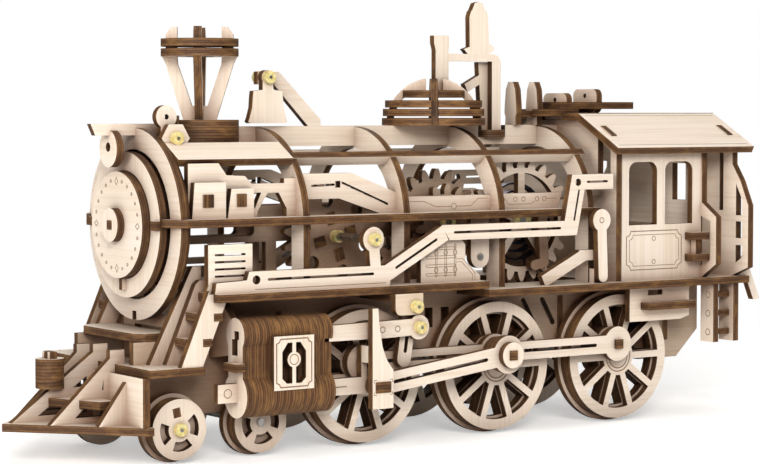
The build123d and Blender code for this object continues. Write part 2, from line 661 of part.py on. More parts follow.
def build_shelf_fittings():
    """Hexagon plates with push-on caps, a drilled disc and a post standing on the smokebox shelf."""
    x, z = -138.4, 118.8
    foot = bar(x - 3.0, SHELF_TOP, x + 3.0, z)
    hexagon = Pos(x, z) * RegularPolygon(6.0, 6) + foot - disc(PIN_R, x, z)
    lane = SHELF_HALF
    pin = tipped_pin(x, z, PLY - lane, -lane, -lane - 2.4)
    eye_x, eye_z = -140.6, 126.8
    eye = disc(4.4, eye_x, eye_z) + bar(eye_x - 2.4, SHELF_TOP, eye_x + 2.4, eye_z) - disc(1.0, eye_x, eye_z)
    post = flat_plate(bar(-136.0, -12.0, -133.4, -7.5), SHELF_TOP, 13.7)
    cap = push_cap(x, z, CAP_R, -lane - 2.0, -lane, TIP_R)
    return pair(side_plate(hexagon, lane), cap, pin) + [side_plate(eye, 15.0), post]


# ---------- boards, panels and pipe rails ----------

def build_boards():
    front, rear, floor = board_shapes()
    write("running_boards", pair(front, rear) + [floor])


def build_panels(tools):
    lane = PANEL_LANE
    bay1 = poly((-140.5, 89), (-140.5, 109.5), (-127.4, 109.5), (-124, 105), (-116, 104.6), (-113, 101.6),
                (-98.6, 101.6), (-98.6, 103.4), (-93.4, 103.4), (-93.4, 89), (-97.5, 89), (-97.5, 92),
                (-101, 98), (-106, 98), (-110.5, 91), (-110.5, 89))
    bay1 -= poly((-113.3, 92.2), (-113.3, 98.2), (-108.8, 98.2), (-111.6, 92.2))
    key1 = bar(-136.0, 93.2, -131.4, 98.0)
    key2 = bar(-121.4, 93.2, -117.2, 98.0)
    block1 = poly((-140.5, 89), (-139.4, 102.5), (-126.0, 102.5), (-126.0, 89)) - key1
    block2 = poly((-125.2, 89), (-123.6, 100), (-113.8, 100), (-113.8, 89)) - key2
    bay2 = poly((-90.4, 105), (-68, 105), (-46.8, 97), (-46.8, 89), (-54.5, 89), (-73.6, 95.2), (-90.4, 95.2))
    bay2 -= slit((-86, 100.3), (-76, 100.6), 0.9)
    bay2 -= slit((-72, 101.2), (-51, 92.6), 0.9)
    bay2 -= bar(-75.4, 99.4, -73.0, 102.0)
    bay3 = bar(-43.8, 89, 0, 95.2)
    bay4 = poly((3, 89), (3, 95.4), (36.4, 95.4), (34.8, 89))
    hanging = bar(-13, 70, -4, 86) + disc(4.5, -8.5, 70.4) - disc(1.3, -8.5, 70.4)
    pin = rod_y(-8.5, 70.4, 1.3, -35.6, -31.0)
    louvre = bar(-137.2, FRONT_BOARD_TOP, -118.2, 79.6)
    for k in range(5):
        louvre -= bar(-134.4, 64.8 + 2.65 * k, -121.2, 65.6 + 2.65 * k)
    pipework = poly((-41, FRONT_BOARD_TOP), (-41, 79), (-22, 79), (-19.4, 76), (-19.4, 69.3),
                    (-12.1, FRONT_BOARD_TOP + 2),
                    (-12.1, FRONT_BOARD_TOP))
    shapes = [side_plate(bay1, lane), side_plate(block1, lane + PLY), side_plate(block2, lane + PLY),
              side_plate(key1, lane + PLY + 0.4, PLY + 0.4), side_plate(key2, lane + PLY + 0.4, PLY + 0.4),
              side_plate(bay2, lane), side_plate(bay3, lane), side_plate(bay4, lane),
              side_plate(hanging, 35.0), pin,
              side_plate(louvre, 40.0), side_plate(pipework, 39.8)]
    write("side_panels", cut(pair(*shapes), tools))


def build_pipe_rails():
    rail = poly((-136.2, FRONT_BOARD_TOP), (-135.6, 65.6), (-122.5, 66.2), (-121.5, 69.4), (-58, 69.4),
                (-58, FRONT_BOARD_TOP))
    rail += strut((DISC_X + 1.2, 66), (DISC_X, DISC_Z), 4.8) + disc(4.8, DISC_X, DISC_Z)
    rail += strut((-61.5, 65.2), (-31.6, 81.2), 6.4)
    rail += poly((-33.5, 84.2), (-29.5, 78.2), (34.8, 78.2), (38.8, 96.8), (54, 96.8), (54, 103), (32.2, 103),
                 (28.4, 84.2))
    rail -= disc(1.7, -118.4, 66.2)
    rail -= slit((-113, 66.2), (-66, 66.4), 1.0)
    rail -= slit((-55, 68.4), (-36, 78.6), 1.0)
    rail -= slit((-27, 81.2), (26, 81.3), 1.0)
    rail -= slit((33.4, 84.5), (35.8, 96.4), 0.9)
    rail -= slit((40.4, 99.9), (50.6, 100.0), 0.9)
    rail -= disc(1.5, 35.4, 99.8)
    near = side_plate(rail - disc(PIN_R + RUN_GAP, DISC_X, DISC_Z), RAIL_LANE)
    other = side_plate(rail - disc(PIN_R, DISC_X, DISC_Z), RAIL_LANE)
    pin = tipped_pin(DISC_X, DISC_Z, PLY - RAIL_LANE, -RAIL_LANE, -RAIL_LANE - 2.5)
    cap = push_cap(DISC_X, DISC_Z, CAP_R, -RAIL_LANE - 2.1, -RAIL_LANE, TIP_R)
    write("pipe_rails", [near] + far(other))
    return far(pin, cap)


# ---------- cylinders ----------

def build_cylinders():
    body = disc(6.5, -CYL_Y, VALVE_Z) + disc(8.4, -CYL_Y, PISTON_Z - 0.5)
    body += bar(-CYL_Y - 5.2, PISTON_Z, -CYL_Y + 5.2, VALVE_Z)
    keyhole = bar(-CYL_Y - 1.6, 38.5, -CYL_Y + 2.4, 44.5) + bar(-CYL_Y - 2.6, 44.5, -CYL_Y + 0.6, 47.6)
    front = body - keyhole - bar(-CYL_Y - 1.5, 21.2, -CYL_Y + 1.5, 28.2)
    slices = []
    badge_pocket = block(-116.2, -98.6, -60, -49.0, 25.3, 45.5)
    inner_pocket = block(-113.0, -101.8, -49.0, -45.5, 27.4, 43.4)
    rod_slot = block(-117, -80, -46.4, -42.6, 20.4, 27.6)
    valve_slot = block(-92, -80, -49.4, -45.8, 41.8, 48.2)
    for k in range(1, CYL_SLICES):
        slices.append(cross_plate(body, CYL_X0 + PLY * k))
    slices = cut(slices, [badge_pocket, inner_pocket, rod_slot, valve_slot])
    write("cylinder_slices", slices + far(*slices))
    nose = side_plate(bar(CYL_X0 - 8.4, 21.2, CYL_X0 + PLY, 28.2), CYL_Y + PLY / 2)
    lug = flat_plate(bar(CYL_X0 - 4.0, -CYL_Y - 7.0, CYL_X0, -CYL_Y + 2.0), 33.0)
    end_plates = pair(cross_plate(front, CYL_X0), nose, lug)
    badge = bar(-116.2, 25.3, -98.6, 45.5)
    window = poly((-110.2, 43.0), (-112.6, 39.6), (-112.6, 29.6), (-110.6, 27.7), (-104.2, 27.7),
                  (-102.2, 29.6),
                  (-102.2, 39.6), (-104.6, 43.0))
    stem = bar(-108.2, 27.4, -106.6, 43.2) + disc(2.9, -107.4, 36.6)
    badge = badge - window + stem
    write("cylinder_plates", end_plates + pair(side_plate(badge, 52.0)))
    saddle = poly((-FRAME_LANE, 36), (-FRAME_LANE, 58.5), (-33, 58.5), (-42, 50.0), (-42, 38.5))
    saddle -= body
    plate = cross_plate(saddle, CYL_X0)
    bracket_arm = flat_plate(bar(-59.4, -49, -53.8, -FRAME_LANE), 55.5)
    hanger = round_bar(-59.4, 50.2, -46.4, 64.0, 2.6) & bar(-59.4, 50.0, -46.4, FRONT_BOARD_TOP - PLY)
    hanger -= disc(PIN_R + RUN_GAP, *LINK_PIVOT)
    hanger_plate = side_plate(hanger, 49.0)
    arm = cut([bracket_arm], [hanger_plate])
    write("cylinder_saddles", pair(plate, hanger_plate, *arm))


# ---------- front end ----------

CATCHER_TOP = 13.9
CATCHER_TIP = -202.0
POST_X = -165.3
STEP_TOP = 35.0
RIB_PITCH = 13.5
RIB_FEET = (-198.8, -189.6, -176.8)
COUPLER_X = -182.4
COUPLER_TOP = 39.6


def pilot_rib(foot_x, top_z):
    """Open triangular rib from its foot up to a neck that passes through the step plate."""
    neck = POST_X + 0.3
    rib = poly((foot_x, CATCHER_TOP), (neck, top_z - 3.0), (neck, top_z), (neck + 6.0, top_z),
               (neck + 6.0, 32.0),
               (POST_X, 32.0), (POST_X, CATCHER_TOP))
    lean = (neck - foot_x) / (top_z - 3.0 - CATCHER_TOP)
    low = CATCHER_TOP + 2.0
    rib -= poly((foot_x + 8.0 + 2.0 * lean, low), (POST_X - 2.5, low), (POST_X - 2.5, 19.4),
                (foot_x + 8.0 + 5.5 * lean, 19.4))
    rib -= poly((foot_x + 8.0 + 12.5 * lean, 25.6), (POST_X - 2.5, 25.6), (POST_X - 2.5, 25.6 + 4.0))
    return rib


def build_front(frames):
    base = poly((CATCHER_TIP, 0), (-163.5, -41.6), (-161.0, -41.6), (-161.0, 41.6), (-163.5, 41.6))
    post = bar(-41, CATCHER_TOP, 41, STEP_TOP - PLY) - bar(-14, CATCHER_TOP + 4, 14, 27)
    base_plate = flat_plate(base, CATCHER_TOP - PLY)
    post_plate = cross_plate(post, POST_X)
    ribs = [mid_plate(pilot_rib(RIB_FEET[0], 41.4)
                      + bar(COUPLER_X - 1.5, 26.0, COUPLER_X + 1.5, COUPLER_TOP))]
    ribs += pair(side_plate(pilot_rib(RIB_FEET[1], 40.2), RIB_PITCH + PLY / 2))
    low_rib = poly((RIB_FEET[2], CATCHER_TOP), (POST_X, 29.6), (POST_X, CATCHER_TOP))
    ribs += pair(side_plate(low_rib, 2 * RIB_PITCH + PLY / 2))
    crossbar = flat_plate(poly((-184.4, 0), (-174.0, -24), (-168, -24), (-168, 24), (-174.0, 24)), 19.4)
    bars = cut([crossbar], ribs)
    write("pilot_base", [base_plate, post_plate] + bars)
    write("pilot_ribs", ribs)
    step = bar(-163, -42.5, -140, 42.5) - bar(-150, PLY - FRAME_LANE, -140, FRAME_LANE - PLY)
    steps = cut([flat_plate(step, STEP_TOP - PLY)], frames + ribs)
    upper = flat_plate(poly((-158, -20), (-155, -24.1), (-143, -24.1), (-143, 24.1), (-155, 24.1),
                            (-158, 20)), 43.4)
    write("front_steps", steps + [upper])
    centred = (Align.CENTER, Align.CENTER, Align.MIN)
    stack = [Pos(COUPLER_X, 0, 25.9 + 3.7 * k) * Cylinder(5.3, 3.7, align=centred) for k in range(3)]
    cross_key = Pos(COUPLER_X, 0, 31.0) * Box(3.0, 6.4, COUPLER_TOP - 31.0, align=centred)
    arms = cut([cross_key], ribs)
    write("coupler", cut(stack, ribs + arms) + arms)


STAIR_Y = (42.0, 30.6)
STAIR_FOOT = (-145.3, STEP_TOP)
STAIR_HEAD = (-132.0, 66.0)
INNER_STRING_Y = 27.2
TREADS = ((-146.2, 42.2), (-141.6, 51.4))


def build_stairs():
    half = 4.5
    string = poly((STAIR_FOOT[0] - half, STAIR_FOOT[1]), (STAIR_FOOT[0] + half, STAIR_FOOT[1]),
                  (STAIR_HEAD[0] + half, STAIR_HEAD[1]), (STAIR_HEAD[0] - half + 1.0, STAIR_HEAD[1]),
                  (STAIR_HEAD[0] - half - 0.8, STAIR_HEAD[1] - 1.6))
    inner = poly((-155.0, STEP_TOP), (-147.4, STEP_TOP), (-133.0, 63.6), (-133.0, 71.0), (-136.6, 71.0))
    strings = [side_plate(string, y) for y in STAIR_Y] + [side_plate(inner, INNER_STRING_Y)]
    treads = []
    for x, z in TREADS:
        tread = bar(x, PLY - STAIR_Y[0], x + 9.4, -STAIR_Y[1])
        tread += bar(x + 5.5, -STAIR_Y[0], x + 9.4, PLY - STAIR_Y[1])
        treads.append(flat_plate(tread, z))
    board_tool = [block(BOARD_FRONT_X, 0, -BOARD_HALF, -BOARD_INNER, FRONT_BOARD_TOP - PLY, FRONT_BOARD_TOP)]
    louvre_tool = [block(-137.2, -118, -40, -37, FRONT_BOARD_TOP, 80)]
    rail_tool = [block(-138, -118, -RAIL_LANE, -40.2, FRONT_BOARD_TOP - 0.01, 69.5)]
    strings = cut(strings, board_tool + rail_tool + louvre_tool)
    strings = [piece for piece in strings if piece.volume > 100]
    strings = cut(strings, treads)
    write("stairs", pair(*strings, *treads))


# ---------- along the top ----------

CHIMNEY_X = -117.5
FLUE_TURN = 56.0


def build_chimney():
    base = []
    for k, radius in enumerate((14.8, 15.0, 15.0, 15.0)):
        layer = disc(radius, CHIMNEY_X, 0)
        base.append(flat_plate(layer, SHELF_TOP + PLY * k))
    arm = [(2.2, 125.6), (6.4, 125.6), (13.0, 147.0), (14.6, 150.2), (13.0, 150.2), (13.0, 158.4),
           (10.8, 161.4),
           (8.6, 161.4), (8.6, 150.2), (8.4, 147.0), (3.0, 131.0)]
    blade = poly(*arm) + poly(*[(-across, z) for across, z in arm]) + bar(-3.4, 125.6, 3.4, 131.0)
    one = turned_plate(blade, CHIMNEY_X, FLUE_TURN)
    other = turned_plate(blade, CHIMNEY_X, FLUE_TURN - 90)
    other = cut([other], [one])
    ring = disc(15.0, CHIMNEY_X, 0) - disc(6.0, CHIMNEY_X, 0)
    rings = cut([flat_plate(ring, 150.0), flat_plate(ring, 153.8)], [one] + other)
    write("chimney_base", base)
    write("chimney_blades", [one] + other)
    write("chimney_cap", rings)


BELL_PIVOT = (-89.5, 142.2)


def build_bell():
    px, pz = BELL_PIVOT
    half = [(2.6, pz - 5.0), (6.6, pz - 5.4), (6.9, pz - 8.0), (7.2, pz - 12.0), (8.4, pz - 16.0),
            (9.0, pz - 17.4),
            (8.2, pz - 18.0)]
    outline = [(px + x, z) for x, z in half] + [(px - x, z) for x, z in reversed(half)]
    bell = poly(*outline) + bar(px - 2.4, pz - 5.4, px + 2.4, pz) + disc(2.8, px, pz)
    bell -= disc(PIN_R + RUN_GAP, px, pz)
    write("bell", [side_plate(bell, 4.6)])
    cheek = poly((px - 2.8, pz - 2.8), (px - 2.8, pz + 2.2), (px + 7.0, pz + 2.2), (-63.0, 125.5),
                 (-63.0, 123.0),
                 (-69.0, 123.0), (px + 4.6, pz - 2.8))
    cheek -= disc(PIN_R, px, pz)
    pin = tipped_pin(px, pz, 1.5, -4.7, -7.1) + rod_y(px, pz, TIP_R, 1.5, 3.9)
    caps = [push_cap(px, pz, CAP_R, -6.8, -4.7, TIP_R), push_cap(px, pz, CAP_R, 1.5, 3.6, TIP_R)]
    write("bell_bracket", [mid_plate(cheek), pin] + caps)


DOME_X = -6.5


def build_dome():
    tiers = []
    for radius, z0 in ((21.4, 123.0), (21.0, 126.8), (20.1, 130.3), (12.9, 134.4)):
        tiers.append(flat_plate(disc(radius, DOME_X, 0), z0))
    arch = ((disc(19.6, 0, 123.0) & bar(-20, 123.0, 20, 143))
            - (disc(16.6, 0, 123.0) & bar(-20, 123, 20, 137.2)))
    one = turned_plate(arch, DOME_X, FLUE_TURN)
    other = turned_plate(arch, DOME_X, FLUE_TURN - 90)
    mouth = bar(16.6, 122, 23, 138) + bar(-23, 122, -16.6, 138)
    notches = [turned_plate(mouth, DOME_X, FLUE_TURN), turned_plate(mouth, DOME_X, FLUE_TURN - 90)]
    crown = block(DOME_X - 3.4, DOME_X + 6.6, -3.4, 3.4, 137.0, 146.0)
    one = cut([one], [crown])
    other = cut([other], one + [crown])
    tiers = cut(tiers, one + other + notches)
    tiers = [piece for piece in tiers if piece.volume > 60]
    write("dome_tiers", tiers)
    write("dome_ribs", one + other)


VALVE_X = (33.5, 44.9)


def build_whistle():
    x = DOME_X
    stand = bar(x, 137.4, x + 6.6, 154.0) + poly((x, 154.0), (x - 0.8, 157.0), (x - 0.8, 160.0),
                                                 (x + 6.8, 160.0),
                                              (x + 6.8, 157.0), (x + 6.6, 154.0))
    stand += bar(x + 5, 149.6, 27.2, 152.6) + bar(22.6, 121.0, 27.2, 152.6)
    stand -= bar(23.2, 148.6, 27.2, 152.6) - disc(4.0, 23.2, 148.6)
    second = (poly((19.6, 121.0), (25.2, 121.0), (23.4, 149.4), (17.8, 149.4))
              + strut((11.5, 138.5), (20.0, 142.8), 3.6))
    base = disc(6.5, 22.4, 0)
    frame = mid_plate(stand)
    back = Pos(0, 3.2, 0) * mid_plate(second)
    write("whistle_stand", [frame, back, flat_plate(base, 118.0) - frame - back])
    w = 15.6
    body = poly((w - 4.6, 155.6), (w - 4.8, 168.0), (w - 4.0, 170.4), (w - 3.4, 170.8), (w - 2.0, 173.8),
                (w, 174.4),
                (w + 2.0, 173.8), (w + 3.4, 170.8), (w + 4.2, 170.4), (w + 4.8, 168.0), (w + 5.4, 157.0),
                (w + 8.2, 155.6), (w + 8.2, 154.6), (w + 5.6, 152.6), (w - 5.6, 152.6), (w - 7.6, 154.6))
    write("whistle", [mid_plate(body)])
    valves = []
    for vx, foot in ((VALVE_X[0], SPINE_TOP), (VALVE_X[1], SPINE_TOP)):
        half = [(1.6, 141.2), (3.2, 138.0), (3.9, 132.0), (4.2, 128.0), (3.4, 126.5), (3.6, foot)]
        face = poly(*(half + [(-y, z) for y, z in reversed(half)]))
        valves.append(cross_plate(face, vx))
    clamp = flat_plate(bar(VALVE_X[0] + PLY, -3, VALVE_X[1], 3), 126.4, 2.6)
    return valves, clamp


# ---------- cab ----------

def build_cab():
    slope = degrees(atan2(CAB_TOP_Z - CAB_EAVE_Z, CAB_EAVE_HALF - CAB_TOP_HALF))
    gable_top = CAB_TOP_Z - PLY
    run = (CAB_EAVE_HALF - CAB_TOP_HALF) / (CAB_TOP_Z - CAB_EAVE_Z)
    drop = PLY / cos(radians(slope))
    top_half = CAB_TOP_HALF - (drop - PLY) * run
    wall_z = gable_top - (41.0 - top_half) / run
    tab_y = (CAB_EAVE_HALF + CAB_TOP_HALF) / 2
    tab_z = (CAB_TOP_Z + CAB_EAVE_Z - drop) / 2
    tab = strut((tab_y - 3.6, tab_z + 3.6 / run), (tab_y + 3.6, tab_z - 3.6 / run), PLY + 0.8)
    tabs = tab + mirror(tab, about=Plane.YZ)
    upper = poly((-41, 90), (-41, wall_z), (-top_half, gable_top), (top_half, gable_top), (41, wall_z),
                 (41, 90))
    front = upper + bar(-41, REAR_BOARD_TOP, 41, 90) + tabs
    window = poly(*CAB_FRONT_WINDOW)
    front = front - window - mirror(window, about=Plane.YZ) - bar(-27, REAR_BOARD_TOP, 27, 84)
    front_plate = cross_plate(front, CAB_FRONT_X)
    side = bar(CAB_FRONT_X + PLY, REAR_BOARD_TOP, CAB_MID_X, wall_z)
    for x0 in (64.8, 84.6):
        side -= round_bar(x0, 74.0, x0 + 15.4, 107.6, 4.0) & bar(x0, 81.2, x0 + 15.4, 108)
    side_wall = side_plate(side, CAB_LANE)
    low = poly((-41, 90.0), (-50, 84.0), (-50, 64.0), (-41, REAR_BOARD_TOP), (41, REAR_BOARD_TOP),
               (50, 64.0), (50, 84.0), (41, 90.0))
    grip = poly((-38, 85.0), (-46.6, 82.0), (-46.6, 66.0), (-38, 61.6))
    mid_wall = upper + low - grip - mirror(grip, about=Plane.YZ) - bar(-14, REAR_BOARD_TOP, 14, 80)
    for y0, y1 in ((22.1, 30.6), (10.4, 17.4)):
        mid_wall -= bar(y0, 90.6, y1, 106.4) + bar(-y1, 90.6, -y0, 106.4)
    tail = poly((-41, 106), (-46.0, 99.0), (-51, 88.5), (-51, 62.0), (-41, REAR_BOARD_TOP),
                (41, REAR_BOARD_TOP),
                (51, 62.0), (51, 88.5), (46.0, 99.0), (41, 106))
    rear_wall = upper + tail + tabs - bar(-19, 88, 19, 108) - bar(-12, REAR_BOARD_TOP, 12, 80)
    rear_wall -= bar(33, 86, 35.4, 112) + bar(-35.4, 86, -33, 112)
    windows = poly((-43.4, 97.6), (-47.2, 91.0), (-47.2, 84.1), (-43.4, 84.1)) + bar(-47.2, 74.3, -43.4, 81.5)
    windows += poly((-43.4, 71.3), (-47.2, 71.3), (-47.2, 66.0), (-43.4, 63.6))
    rear_wall = rear_wall - windows - mirror(windows, about=Plane.YZ)
    mid_plate_solid = cross_plate(mid_wall, CAB_MID_X)
    rear_plate = cross_plate(rear_wall, 122.5)
    ledge = flat_plate(bar(96.0, -46.0, CAB_MID_X, -CAB_LANE), 74.4)
    ledge_low = flat_plate(bar(96.0, -46.0, CAB_MID_X, -CAB_LANE), 65.2)
    ledge_web = side_plate(bar(99.0, 68.2, 102.0, 74.4), 44.0)
    write("cab_front_wall", [front_plate])
    write("cab_side_walls", pair(side_wall))
    write("cab_rear_frames", [mid_plate_solid, rear_plate])
    ledges = pair(ledge, ledge_low, ledge_web)

    span = hypot(CAB_EAVE_HALF - CAB_TOP_HALF, CAB_TOP_Z - CAB_EAVE_Z)
    x0, x1 = ROOF_X
    top = flat_plate(bar(x0, 0.4 - CAB_TOP_HALF - 0.8, x1, CAB_TOP_HALF + 0.4), CAB_TOP_Z - PLY)
    flap = extrude(Rectangle(x1 - x0, span), amount=-PLY)
    middle = Pos((x0 + x1) / 2, -(CAB_EAVE_HALF + CAB_TOP_HALF) / 2, (CAB_TOP_Z + CAB_EAVE_Z) / 2)
    flap = middle * Rot(slope, 0, 0) * flap
    notch = block(x0 - 1, 63.4, -9.1, 9.1, CAB_TOP_Z - PLY - 0.1, CAB_TOP_Z + 0.1)
    flaps = cut(pair(flap), [top, front_plate, mid_plate_solid, rear_plate] + pair(side_wall))
    write("cab_roof", cut([top], [notch]) + [piece for piece in flaps if piece.volume > 50])
    plank = flat_plate(bar(53.1, -9.0, 93.8, 9.0), 129.7)
    fork = flat_plate(bar(41.7, -9.0, 63.3, 9.0) - bar(41.0, -4.4, VALVE_X[1] + PLY + 0.1, 4.4), 126.7)
    end = cross_plate(round_bar(-8, gable_top + 0.2, 8, 136.5, 3.0) - disc(1.0, 0, 133.6), CAB_FRONT_X)
    end_low = cross_plate(round_bar(-8, CAB_TOP_Z, 8, 138.3, 3.0) - disc(1.0, 0, 135.4), 74.0)
    write("roof_vent", cut([plank, fork], [end, end_low]) + [end, end_low])
    return ledges


def build_under_cab(ledges):
    hanger = poly((66, 40.6), (66, REAR_BOARD_TOP - PLY), (99, REAR_BOARD_TOP - PLY), (99, 42), (94, 40.6))
    hanger -= bar(76, 51.4, 84, 53.6)
    hanger_plate = side_plate(hanger, 40.0)
    step = flat_plate(bar(72, -45.5, 98, -40.0), 45.6)
    brace = strut((19.8, 59.6), (40.8, 69.6), 5.0) + bar(38.2, 67.4, 46.4, 71.7)
    brace &= bar(10, REAR_BOARD_TOP, 60, 80)
    brace_plate = side_plate(brace, 40.4)
    write("cab_steps", ledges + pair(hanger_plate, step))
    post1 = cross_plate(bar(-44, 30, -36, REAR_BOARD_TOP - PLY), 109.3)
    post2 = cross_plate(bar(-44, 30, -35, REAR_BOARD_TOP - PLY), 120.8)
    knobs = [flat_plate(bar(112.3, -41.4, 120.8, -38.6), 33.0 + 8.0 * k, 2.4) for k in range(3)]
    prop = poly((125.5, REAR_BOARD_TOP), (125.5, 66.0), (131.2, 66.0), (139.6, 47.0), (135.8, 47.0),
                (131.0, REAR_BOARD_TOP))
    write("rear_posts", pair(post1, post2, *knobs, side_plate(prop, CAB_LANE)))
    write("side_braces", pair(brace_plate))


def build_lever():
    px, pz = LEVER_PIVOT
    face = strut((px, pz), (px - 0.9, 84.0), 4.8) + disc(4.6, px - 0.9, 84.0) + disc(2.4, px, pz)
    bore = rod_y(px, pz, PIN_R + RUN_GAP, 0.9 - LEVER_LANE, 0)
    write("start_lever", [side_plate(face, LEVER_LANE) - bore])
    ear_lane = LEVER_LANE - PLY - 0.1
    ear = bar(px - 2.4, REAR_BOARD_TOP, px + 2.4, pz + 3.0) - disc(PIN_R, px, pz)
    pin = rod_y(px, pz, PIN_R, 1.0 - LEVER_LANE, PLY - ear_lane)
    return [side_plate(ear, ear_lane), pin]


os.makedirs("parts", exist_ok=True)
build_gears()
PAWL_PIN = build_pawl()
for wheelset, offset in (("front", -DRIVER_PITCH), ("middle", 0.0), ("rear", DRIVER_PITCH)):
    build_driving_wheelset(wheelset, offset, MAIN_ROD_LANE
                           + 1.0 if wheelset == "middle" else SIDE_ROD_LANE + 0.2)
for label, offset in zip(("leading", "trailing"), BOGIE_X):
    build_bogie_wheelset(label, offset)
build_rods()
build_crosshead()
build_valve_gear()
FRAMES = build_frames()
RINGS, STRIPS, STRINGERS, SPINE, SHELVES = build_boiler()
build_gear_frames()
LAMP, LAMP_ARM = build_headlamp()
SMOKEBOX = build_smokebox(STRIPS, SHELVES + [LAMP_ARM])
build_boards()
build_panels(RINGS + STRIPS + STRINGERS + SHELVES)
RAIL_PINS = build_pipe_rails()
FITTINGS = build_shelf_fittings()
build_cylinders()
build_front(FRAMES)
build_stairs()
build_chimney()
build_bell()
build_dome()
VALVES, CLAMP = build_whistle()
build_under_cab(build_cab())
LEVER_PARTS = build_lever()
write("pins_and_caps", RAIL_PINS + LEVER_PARTS + [PAWL_PIN])
write("safety_valves", cut(VALVES, SPINE) + cut([CLAMP], VALVES))
write("headlamp", LAMP + cut([LAMP_ARM], LAMP))
FITTED = cut(FITTINGS, SMOKEBOX + LAMP)
write("smokebox_shelves", cut(SHELVES, FITTED) + FITTED)
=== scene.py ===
"""Looks for a laser-cut plywood locomotive puzzle. Positions are in metres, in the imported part's frame."""
import math

import bmesh
import bpy
import numpy as np
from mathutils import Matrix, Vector


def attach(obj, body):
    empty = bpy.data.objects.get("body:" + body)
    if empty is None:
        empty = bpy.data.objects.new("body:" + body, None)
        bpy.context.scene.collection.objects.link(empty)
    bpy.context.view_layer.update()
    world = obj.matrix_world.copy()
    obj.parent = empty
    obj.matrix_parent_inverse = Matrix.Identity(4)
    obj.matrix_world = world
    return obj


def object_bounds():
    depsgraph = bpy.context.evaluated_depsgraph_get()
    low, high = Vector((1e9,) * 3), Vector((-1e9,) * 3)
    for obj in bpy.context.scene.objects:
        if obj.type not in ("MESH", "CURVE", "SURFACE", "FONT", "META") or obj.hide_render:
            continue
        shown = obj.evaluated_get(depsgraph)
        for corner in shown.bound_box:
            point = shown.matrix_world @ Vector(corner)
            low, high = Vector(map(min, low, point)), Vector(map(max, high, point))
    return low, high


MM = 0.001
PLY = 3.0 * MM
SEED_SHIFT = (31.0, 57.0, 13.0)
GAP_FALLOFF = 1.15


# ---------- node material helpers ----------

def new_material(name):
    material = bpy.data.materials.new(name)
    material.use_nodes = True
    tree = material.node_tree
    shader = tree.nodes["Principled BSDF"]
    return material, tree, shader


def add(tree, kind, **values):
    """Make a node; inputs are given by name, settings by attribute."""
    node = tree.nodes.new(kind)
    for key, value in values.items():
        if hasattr(node, key):
            setattr(node, key, value)
        else:
            node.inputs[key.replace("_", " ")].default_value = value
    return node


def link(tree, source, target):
    tree.links.new(source, target)


def attribute(tree, name):
    return add(tree, "ShaderNodeAttribute", attribute_name=name)


def maths(tree, operation, first, second=None):
    node = add(tree, "ShaderNodeMath", operation=operation)
    for slot, value in enumerate((first, second)):
        if value is None:
            continue
        if isinstance(value, (int, float)):
            node.inputs[slot].default_value = value
        else:
            link(tree, value, node.inputs[slot])
    return node.outputs[0]


def ramp(tree, factor, stops):
    node = tree.nodes.new("ShaderNodeValToRGB")
    while len(node.color_ramp.elements) < len(stops):
        node.color_ramp.elements.new(0.5)
    for element, (place, colour) in zip(node.color_ramp.elements, stops):
        element.position = place
        element.color = srgb(colour)
    link(tree, factor, node.inputs["Fac"])
    return node.outputs["Color"]


def srgb(colour):
    """Linear RGBA from an 0-255 screen colour."""
    linear = []
    for channel in colour:
        c = channel / 255.0
        linear.append(c / 12.92 if c <= 0.04045 else ((c + 0.055) / 1.055) ** 2.4)
    return (*linear, 1.0)


def mix(tree, factor, first, second, blend="MIX"):
    node = add(tree, "ShaderNodeMix", data_type="RGBA", blend_type=blend)
    for socket, value in ((node.inputs[0], factor), (node.inputs[6], first), (node.inputs[7], second)):
        if isinstance(value, (int, float)):
            socket.default_value = value
        elif isinstance(value, tuple):
            socket.default_value = srgb(value)
        else:
            link(tree, value, socket)
    return node.outputs[2]


def noise(tree, vector, scale, detail=2.0, roughness=0.5):
    node = add(tree, "ShaderNodeTexNoise", Scale=scale, Detail=detail, Roughness=roughness)
    link(tree, vector, node.inputs["Vector"])
    return node.outputs["Fac"]


def stretched(tree, vector, stretch, seed):
    """Sheet coordinates scaled per axis and shifted by the piece's own seed."""
    scaled = add(tree, "ShaderNodeVectorMath", operation="MULTIPLY")
    link(tree, vector, scaled.inputs[0])
    scaled.inputs[1].default_value = stretch
    shift = add(tree, "ShaderNodeCombineXYZ")
    for slot, amount in enumerate(SEED_SHIFT):
        link(tree, maths(tree, "MULTIPLY", seed, amount), shift.inputs[slot])
    moved = add(tree, "ShaderNodeVectorMath", operation="ADD")
    link(tree, scaled.outputs[0], moved.inputs[0])
    link(tree, shift.outputs[0], moved.inputs[1])
    return moved.outputs[0]


def bump(tree, shader, height, strength, distance):
    node = add(tree, "ShaderNodeBump", Strength=strength, Distance=distance)
    link(tree, height, node.inputs["Height"])
    link(tree, node.outputs["Normal"], shader.inputs["Normal"])


def shaded(tree, tone, reach, shade_tone):
    """Painted shade: darken a tone towards a dark shade colour inside gaps and behind other sheets."""
    node = add(tree, "ShaderNodeAmbientOcclusion", samples=8, Distance=reach)
    openness = maths(tree, "POWER", node.outputs["AO"], GAP_FALLOFF)
    return mix(tree, openness, mix(tree, 1.0, tone, shade_tone, "MULTIPLY"), tone)


# ---------- materials ----------

# how far each kind of face looks for neighbours that darken it with painted shade, in metres
SHEET_REACH = 0.016
INNER_REACH = 0.040
EDGE_REACH = 0.010


